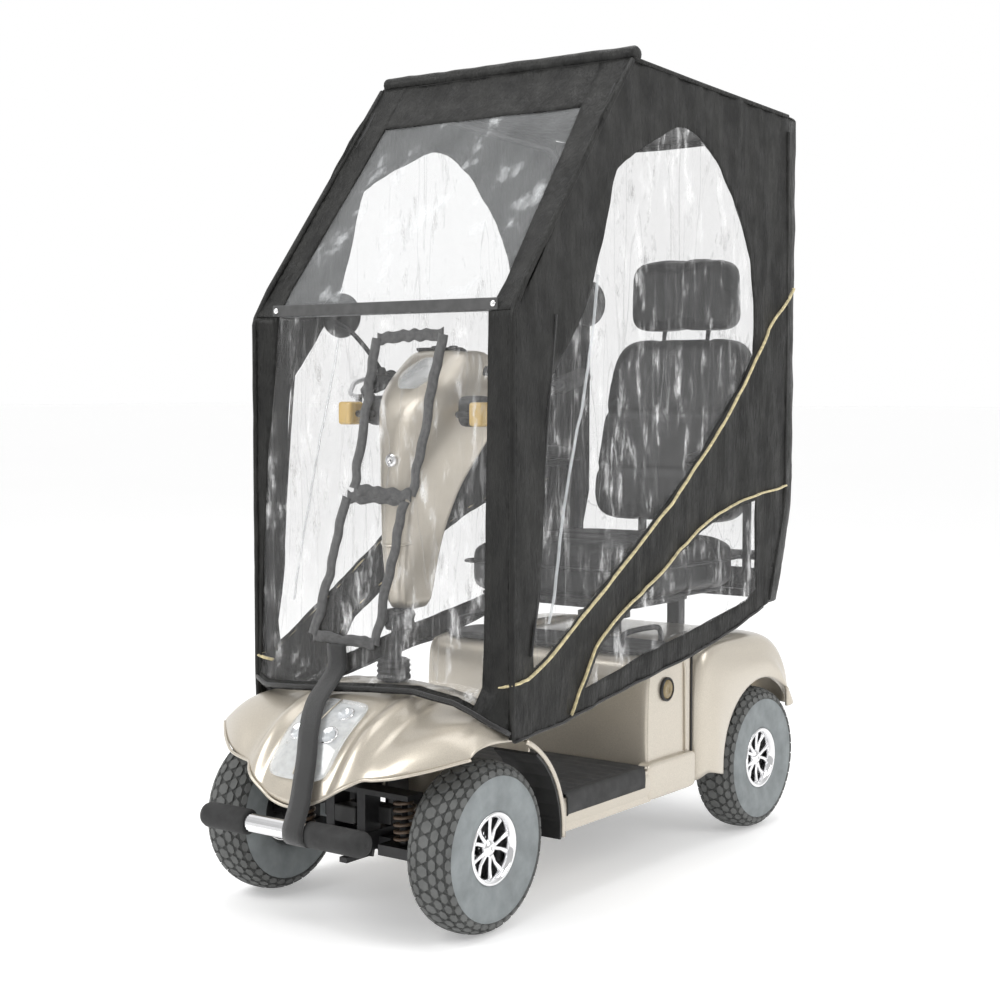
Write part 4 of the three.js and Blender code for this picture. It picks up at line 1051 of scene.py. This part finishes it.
def fairing_ring(z, front, back, y_front, y_back):
    """One level of the fairing: a nose that widens into shoulders behind it."""
    half = []
    for k in range(13):
        t = k / 12
        y = lerp(y_front, y_back, (1 - cos(pi * t)) / 2)
        nose = front * sin(min(1.0, t / 0.28) * pi / 2) ** 0.75
        shoulder = (back - front) * max(0.0, (t - 0.2) / 0.8) ** 0.9
        tail = 1.0 if t < 0.86 else 1.0 - 0.35 * ((t - 0.86) / 0.14) ** 1.6
        half.append((max(0.0, nose + shoulder) * tail, y))
    left = [point(x, y, z) for x, y in half]
    return left + [point(-p.x, p.y, p.z) for p in reversed(left[1:])]


def tiller_fairing():
    rows = [fairing_ring(*level) for level in FAIRING]
    piece = grid("tiller_shell", rows, PAINT, round_columns=True, caps=True)
    return subdivide(piece, 1)


def tiller_piece(piece, slot="black_plastic", *replaced):
    return place(piece, slot, *replaced, body="tiller")


tiller_piece(tiller_fairing(), "body_paint", "tiller_fairing")
collar = turned(
    "tiller_collar", [(20, 0), (27, 0), (30, 8), (27, 18), (30, 28), (26, 38), (20, 38)], (0, -392, 524),
    PLASTIC, 36, "Z")
tiller_piece(collar)
# Head lamp on the fairing's nose, and the round plain badge below it.
lamp_rows = []
for k in range(9):
    t = k / 8
    width = 44 * sin(pi * (0.12 + 0.82 * t)) ** 0.7
    z = lerp(985, 1046, t)
    y = along([(960, -396), (985, -377), (1005, -355), (1030, -322), (1050, -296)], z)
    lamp_rows.append([point(width * s, y - 5 * sqrt(max(0, 1 - s * s)) + 12 * s * s, z)
                      for s in (-1, -0.75, -0.4, 0, 0.4, 0.75, 1)])
head_lamp = subdivide(thicken(grid("head_lamp", lamp_rows, LENS), 4), 2)
tiller_piece(head_lamp, "clear_pvc")
ledge = [point(x, lerp(-424, -398, (abs(x) / 38) ** 2), 686 + 0.004 * x * x) for x in range(-36, 37, 6)]
tiller_piece(pipe("fairing_ledge", ledge, 3.2, PAINT, 8), "body_paint")
badge = turned(
    "plain_badge", [(0.1, 3), (11, 2.4), (13, 1), (13, -3), (0.1, -3)], (0, -417.5, 849), CHROME, 32, "Y",
    -1)
tiller_piece(badge, "bumper_chrome")
for number, (x, z) in enumerate(((-44, 1052), (-22, 1060), (22, 1060), (44, 1052))):
    dial = turned(
        f"dash_dial_{number + 1}", [(0.1, 4), (8, 3), (10, 0), (10, -3), (0.1, -3)], (x, -252, z + 6),
        PLASTIC, 24, "Z")
    tiller_piece(dial)
dash = [[point(x, y, lerp(1066, 1036, (y + 272) / 50)) for x in (-62, -40, 0, 40, 62)]
        for y in (-272, -258, -240, -222)]
tiller_piece(subdivide(thicken(grid("dash_panel", dash, PLASTIC), 4), 2))

HANDLE = [(0, -300, 938), (130, -304, 944), (232, -226, 984), (243, -118, 1010)]


def handle_line(side):
    """The bar with its corners rounded, as the frame bends it."""
    corners = mirrored(side, HANDLE)
    line = [corners[0]]
    for a, b, c in zip(corners, corners[1:], corners[2:]):
        before, after = b + (a - b).normalized() * 26, b + (c - b).normalized() * 26
        line += [before, before.lerp(b, 0.5).lerp(b.lerp(after, 0.5), 0.5), after]
    return line + [corners[-1]]


for hand, side in SIDES:
    line = handle_line(side)
    start, end = line[-2], line[-1]
    grip = [start.lerp(end, 0.12 + 0.88 * k / 40) for k in range(41)]
    ribs = pipe(
        f"grip_{hand}", grip, lambda t: 16.2 + 1.3 * cos(t * tau * 11) - 4 * max(0, t - 0.96) * 25, FOAM,
        20)
    tiller_piece(ribs, "foam")
    low, high = [Vector(c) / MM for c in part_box(f"indicator_{hand}")]
    x0, x1 = sorted((side * 146, side * 180))
    body = block(f"indicator_body_{hand}", (x0, low.y, low.z), (x1, high.y, high.z), AMBER, 7)
    tiller_piece(body, "amber", f"indicator_{hand}")
    x0, x1 = sorted((side * 66, side * 150))
    housing = superbox(f"control_housing_{hand}", (x0, -332, 912), (x1, -272, 972), PLASTIC, 0.55)
    tiller_piece(subdivide(housing, 1))
    stem = pipe(
        f"indicator_stem_{hand}", mirrored(side, ((104, -345, 936), (125, -346, 936), (150, -346, 936))),
        6.5, PLASTIC, 12)
    tiller_piece(stem)


def mirror(hand, head, yaw):
    side = 1 if hand == "left" else -1
    base = point(side * 130, -284 if side > 0 else -290, 1018)
    shell = turned(f"mirror_shell_{hand}", [
        (0.1, 15), (20, 13), (34, 8), (43, 0), (45.5, -8), (45, -11), (43.5, -11), (43, -8), (0.1, -8)],
        (0, 0, 0), PLASTIC, 48, "Y", -1)
    glass = turned(f"mirror_glass_{hand}", [(0.1, 9.5), (42.5, 9.5), (42.9, 8), (0.1, 8)], (0, 0, 0), SILVER,
                   48, "Y")
    for piece in (shell, glass):
        piece.location = (Vector(head) + point(0, 3, -2)) * MM
        piece.rotation_euler = (0, 0, radians(yaw))
    head = Vector(head)
    stalk = smooth_line([base, base.lerp(head, 0.3) + point(0, 0, 6), base.lerp(head, 0.7) + point(0, -4, 2),
                         head + point(0, -13, -14)], 8)
    arm = pipe(f"mirror_stalk_{hand}", stalk, 4.8, STEEL, 12)
    foot = turned(
        f"mirror_foot_{hand}", [(0.1, -8), (9, -8), (10, -4), (8, 6), (5, 10), (0.1, 10)], base, PLASTIC,
        24, "Z")
    place(shell, "black_plastic", f"mirror_{hand}", body=f"mirror_{hand}")
    for piece in (glass, arm, foot):
        place(piece, "black_plastic", body=f"mirror_{hand}")


mirror("left", (211, -76, 1155), -8)
mirror("right", (-252, -282, 1136), 8)


# ---------- seat
VOXEL, PRESSURE, FRAMES = 6.0, 4.0, 20     # of the pads' cloth simulation


def plump(piece, cap):
    """Cloth simulation that fills the pad, with the travel of each point capped."""
    bpy.context.view_layer.objects.active = piece
    piece.select_set(True)
    remesh = piece.modifiers.new("remesh", "REMESH")
    remesh.mode = "VOXEL"
    remesh.voxel_size = VOXEL * MM
    bpy.ops.object.modifier_apply(modifier="remesh")
    before = [v.co.copy() for v in piece.data.vertices]
    sim = piece.modifiers.new("cloth", "CLOTH")
    sim.settings.use_pressure = True
    sim.settings.uniform_pressure_force = PRESSURE
    sim.settings.effector_weights.gravity = 0
    scene = bpy.context.scene
    for step in range(1, FRAMES + 1):
        scene.frame_set(step)
    shown = piece.evaluated_get(bpy.context.evaluated_depsgraph_get())
    after = [v.co.copy() for v in shown.data.vertices]
    piece.modifiers.remove(sim)
    scene.frame_set(1)
    for vertex, a, b in zip(piece.data.vertices, before, after):
        move = b - a
        limit = cap * MM
        vertex.co = a + move * min(1.0, limit / max(move.length, 1e-9))
    piece.select_set(False)
    piece.data.shade_smooth()
    return subdivide(piece, 1)


def carve(piece, lines, depth=5.0, width=9.0):
    """Presses sewn channels into a pad along (axis, place) lines, from its skin inward."""
    corners = [v.co / MM for v in piece.data.vertices]
    middle = sum(corners, Vector()) / len(corners)
    for vertex, co in zip(piece.data.vertices, corners):
        press = 0.0
        for axis, at in lines:
            press = max(press, exp(-((co[axis] - at) / width) ** 2))
        toward = (middle - co).normalized()
        vertex.co = (co + toward * press * depth) * MM
    return piece


cushion = superbox(
    "seat_cushion_pad", (-229, 98, 534), (229, 549, 648), VINYL, 0.34, crown=8, pinch=0.015, plan=0.16,
    steps=(48, 20))
cushion = carve(plump(cushion, 7), [(1, 200), (1, 330), (1, 450)], 6)
place(cushion, "seat_vinyl", "seat_cushion", body="carriage")
welt = smooth_line([(x, y, 604) for x, y in (
    (-231, 170), (-227, 110), (-180, 97), (0, 95), (180, 97), (227, 110), (231, 170), (231, 330),
    (228, 530), (180, 550), (0, 552), (-180, 550), (-228, 530), (-231, 330), (-231, 170))], 5)
place(pipe("seat_welt", welt, 3.2, VINYL, 8), "seat_vinyl", body="carriage")
pan = block("seat_underpan", (-196, 130, 529.6), (196, 520, 538), PLASTIC, 3)
place(pan, "black_plastic", body="carriage")

seat_back = superbox(
    "seat_back_pad", (-214, 563, 668), (214, 637, 1108), VINYL, 0.32, lean=0.18, taper=0.86, pinch=-0.02,
    steps=(28, 26))
seat_back = carve(plump(seat_back, 6), [(2, 790), (2, 930), (0, -70), (0, 70)], 6)
place(seat_back, "seat_vinyl", "seat_back", body="seat_back")
shell_low = superbox(
    "seat_back_shell", (-198, 634, 690), (198, 652, 1085), PLASTIC, 0.34, lean=0.17, taper=0.84)
place(subdivide(shell_low, 1), "black_plastic", body="seat_back")

head = superbox("headrest_pad", (-144, 645, 1120), (144, 712, 1292), VINYL, 0.36, taper=0.95, pinch=-0.02)
head = carve(plump(head, 5), [(0, 0)], 3)
place(head, "seat_vinyl", "headrest", body="headrest")
for hand, side in SIDES:
    line = [point(side * 60, 656.5 + 0.18 * (z - 980), z) for z in (1000, 1040, 1080, 1140)]
    stem = pipe(f"headrest_stem_{hand}", line, 6, CHROME, 14)
    place(stem, "bumper_chrome", body="headrest")
    x0, x1 = sorted((side * 238, side * 272))
    pad = superbox(f"armrest_pad_{hand}", (x0, 258, 818), (x1, 548, 850), VINYL, 0.5, crown=2)
    pad = plump(pad, 3)
    arm = f"armrest_{hand}"
    place(pad, "seat_vinyl", arm, body=arm)
    tray = block(f"armrest_bar_{hand}", (side * 250 - 8, 290, 800), (side * 250 + 8, 566, 817), PLASTIC, 4)
    place(tray, "black_plastic", body=arm)
    boss = turned(
        f"armrest_hinge_{hand}", [(0.1, 237.5), (13, 237.5), (15, 240), (15, 260), (12, 264), (0.1, 264)],
        (0, 566, 800), PLASTIC, 28, "X", side)
    place(boss, "black_plastic", body=arm)


# ---------- body panels
FENDER_TOP = [
    (226, 150), (228, 300), (234, 380), (246, 424), (276, 445), (330, 451), (420, 450), (490, 446),
    (556, 433), (606, 402), (644, 352), (660, 300), (664, 262)]


def fender(hand, side):
    """Wheel-arch cover: a crown that rolls over into an outer wall."""
    top_line = soft_outline(FENDER_TOP, 3)
    rows = []
    sections = ((190, 0.0), (230, 0.0), (262, 1.5), (284, 6), (296, 14), (302, 26), (304, 44))
    for x, drop in sections:
        row = []
        for y, z in top_line:
            away = Vector((y - 440, z - 250)).normalized()
            row.append(point(side * x, y - away.x * drop, z - away.y * drop))
        rows.append(row)
    arch = []
    for k in range(len(top_line)):
        a = radians(lerp(184, 36, k / (len(top_line) - 1)))
        arch.append((REAR_AXLE_Y + 174 * cos(a), WHEEL_Z + 6 + 174 * sin(a)))
    last = rows[-1]
    for share, x in ((0.3, 310), (0.6, 311), (0.85, 308), (0.97, 305), (1.0, 300)):
        rows.append(
            [point(side * x, lerp(p.y, y, share), lerp(p.z, z, share)) for p, (y, z) in zip(last, arch)])
    rows.append([point(side * 292, y, z) for y, z in arch])
    piece = grid(f"fender_{hand}", rows, PAINT)
    subdivide(facing(piece, point(side, 0, 0)), 2)
    return thicken(piece, 3.5, -1)


for hand, side in SIDES:
    place(fender(hand, side), "body_paint", f"rear_fender_{hand}")
    lens_round = turned(
        f"reflector_lens_{hand}", [(0.1, 294.6), (18, 294), (20, 292), (20, 288.2), (0.1, 288.2)],
        (0, 118, 366), REFLECTOR, 32, "X", side)
    place(lens_round, "amber", f"reflector_{hand}")
    ring = turned(
        f"reflector_ring_{hand}", [(20.4, 288.2), (25, 288.2), (25, 293), (22, 295), (20.4, 293)],
        (0, 118, 366), PLASTIC, 32, "X", side)
    place(ring, "black_plastic")
    hoop = smooth_line([point(side * 214, y, z) for y, z in (
        (62, 444), (66, 470), (90, 481), (190, 481), (216, 470), (221, 440))], 6)
    place(pipe(f"cover_handle_{hand}", hoop, 6, STEEL, 12), "frame_black")


def battery_cover():
    """The stepped cover under the seat, with rolled edges."""
    outline = soft_outline(
        [(46, 150), (45, 290), (50, 392), (62, 428), (92, 440), (140, 442), (190, 440), (219, 430),
        (222, 392), (222, 290), (222, 150)], 4)
    wide = []
    for x in (-288, -284, -262, -130, 0, 130, 262, 284, 288):
        inset = {288: 8, 284: 2}.get(abs(x), 0)
        wide.append(
            [point(x, lerp(y, 134, inset / 90), z - inset * (1 if z > 380 else 0)) for y, z in outline])
    piece = orient_up(grid("battery_cover_front", wide, PAINT))
    subdivide(piece, 1)
    return thicken(piece, 3.5, -1)


place(battery_cover(), "body_paint", "battery_cover")
for hand, side in SIDES:
    x0, x1 = sorted((side * 284, side * 288))
    outline = soft_outline(
        [(52, 152), (50, 290), (55, 390), (66, 424), (92, 434), (140, 436), (190, 434), (212, 424),
        (216, 390), (216, 290), (216, 152)], 4)
    wall = prism(f"battery_cover_wall_{hand}", outline, x0, x1, PAINT)
    place(bevel(wall, 2), "body_paint")
rear_shell = soft_outline(
    [(222, 300), (224, 405), (240, 434), (300, 441), (440, 441), (560, 436), (604, 420), (620, 380),
    (622, 300), (622, 205)], 4)
rows = [
    [point(x, lerp(y, 420, i / 300), z - i * 0.8 * (1 if z > 380 else 0)) for y, z in rear_shell]
    for x, i in ((-189, 6), (-184, 1), (-120, 0), (0, 0), (120, 0), (184, 1), (189, 6))]
place(thicken(subdivide(orient_up(grid("battery_cover_rear", rows, PAINT)), 1), 3.5, -1), "body_paint")
for hand, side in SIDES:
    ridge = smooth_line(
        mirrored(side, ((286, 188, 424), (289.5, 192, 400), (290, 194, 330), (290, 196, 250),
        (290, 196, 226))), 6)
    place(pipe(f"cover_ridge_{hand}", ridge, 3.6, PAINT, 10), "body_paint")
    # A thin black bar laid in the gap between the cover's ridge and the fender: painted shade for the dark gap
    # there.
    gap_shade_line = [point(side * 289, 220, z) for z in range(160, 431, 30)]
    place(pipe(f"cover_gap_shade_{hand}", gap_shade_line, 2.6, PLASTIC, 8), "black_plastic")
    x0, x1 = sorted((side * 270, side * 301))
    foot = superbox(f"cover_foot_{hand}", (x0, 30, 148), (x1, 224, 224), PAINT, 0.22)
    place(subdivide(foot, 1), "body_paint")
    section = ((288, 221.5), (297, 220.5), (302.5, 214), (303.5, 196), (302.5, 180))
    edge_rows = [[point(side * x, y, z) for x, z in section] for y in (-262, -258, -200, -120, -40, 4, 12, 16)]
    edge_rows[0] = [p + point(0, 0, -3) for p in edge_rows[0]]
    edge = facing(grid(f"deck_edge_{hand}", edge_rows, MAT), point(side, 0, 0))
    place(thicken(edge, 2.5, -1), "deck_rubber")
    flange_rows = []
    for degrees in range(-5, 68, 4):
        a = radians(degrees)
        flange_rows.append(
            [point(side * x, FRONT_AXLE_Y + r * cos(a), WHEEL_Z + r * sin(a))
            for r, x in ((195.5, 302), (197, 306), (203, 306), (206, 301), (206, 284))])
    flange = grid(f"arch_flange_{hand}", flange_rows, PAINT)
    place(thicken(flange, 2, 0), "body_paint")
pad_top = superbox("under_seat_tray", (-262, 64, 437), (262, 212, 452), PLASTIC, 0.3)
place(pad_top, "black_plastic")


def sill(side):
    section = [
        (292, 205), (297, 209), (300, 200), (301, 180), (299, 160), (294, 148), (289, 147), (289, 156),
        (293, 180)]
    rows = [
        [point(side * x, y, z + (2 if y < -260 else 0)) for x, z in section]
        for y in (-280, -272, -200, -100, 0, 36, 43)]
    return grid(f"sill_{'left' if side > 0 else 'right'}", rows, PAINT, round_columns=True, caps=True)


for _, side in SIDES:
    place(subdivide(sill(side), 1), "body_paint")


def deck():
    rows = []
    for i in range(45):
        y = lerp(-276, 38, i / 44)
        rib = 2.6 * max(0.0, cos(i * tau / 4)) ** 0.5 if 0 < i < 44 else 0
        rows.append(
            [point(x, y, 219 + (rib if abs(x) < 272 else 0))
            for x in (-290, -274, -270, -140, 0, 140, 270, 274, 290)])
    return thicken(orient_up(grid("mat_ribs", rows, MAT)), 7, -1)


place(deck(), "deck_rubber", "deck_mat")
centre_mat = block("mat_front", (-122, -374, 211.6), (122, -277, 219), MAT, 2)
place(centre_mat, "deck_rubber")
shield = soft_outline([(-380, 330), (-381, 300), (-381, 260), (-372, 232), (-352, 222)], 4)
rows = [[point(x, y, z) for y, z in shield] for x in (-124, -80, 0, 80, 124)]
place(thicken(orient_up(grid("leg_shield_foot", rows, PAINT)), 3, 1), "body_paint")


# ---------- suspension and running gear
for hand, side in SIDES:
    turns, steps = 6, 14
    line = []
    for k in range(turns * steps + 1):
        a = tau * k / steps
        line.append(point(side * 125 + 19 * cos(a), -530 + 19 * sin(a), 154 + 80 * k / (turns * steps)))
    coil = pipe(f"coil_{hand}", line, 3.4, BRONZED, 8)
    place(coil, "spring", f"spring_{hand}")
    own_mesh(coil)
    damper = turned(
        f"damper_{hand}", [(0.1, 151), (9, 151), (10, 156), (10, 192), (6, 196), (6, 234), (0.1, 234)],
        (side * 125, -530, 0), STEEL, 20, "Z")
    place(damper, "frame_black")
    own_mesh(damper)

for number, (x, y, z) in enumerate(((-60, -500, 172), (52, -498, 176), (0, -540, 178))):
    box_piece = block(
        f"control_box_{number + 1}", (x - 26, y - 16, z), (x + 26, y + 16, z + 34), PLASTIC, 4)
    place(box_piece, "black_plastic")
# The bar's outer strip, which clamps the film, with a screw at each end.
place(block("bar_facing", (-276, -449, 1126), (276, -444, 1148), BAR, 1.5), "black_plastic")
for hand, side in SIDES:
    screw = turned(
        f"bar_screw_{hand}", [(0.1, 4), (4, 3.4), (6, 1.6), (6.4, -1), (0.1, -1)], (side * 266, -449, 1137),
        SILVER, 20, "Y", -1)
    place(screw, "bumper_chrome")

# ---------- finishes of the carried-over frame parts
FINISHES = {
    "frame_black": STEEL, "body_paint": PAINT, "bumper_chrome": CHROME, "wheel_chrome": CHROME,
    "foam": FOAM, "deck_rubber": MAT, "tyre": SIDEWALL, "spring": BRONZED, "cast_aluminium": ALUMINIUM,
    "lever_aluminium": ALUMINIUM, "black_plastic": PLASTIC, "key_metal": ALUMINIUM, "amber": AMBER,
    "canopy_fabric": CLOTH, "clear_pvc": FILM, "webbing": WEBBING, "seat_vinyl": VINYL}
for part in frame["record"]["subparts"]:
    node = frame["nodes"][part["node"]]
    finish = BAR if part["node"] == "windscreen_bar" else FINISHES[part["material_slot"]]
    if node.material_slots:
        for material_slot in node.material_slots:
            material_slot.material = finish
    else:
        node.data.materials.append(finish)
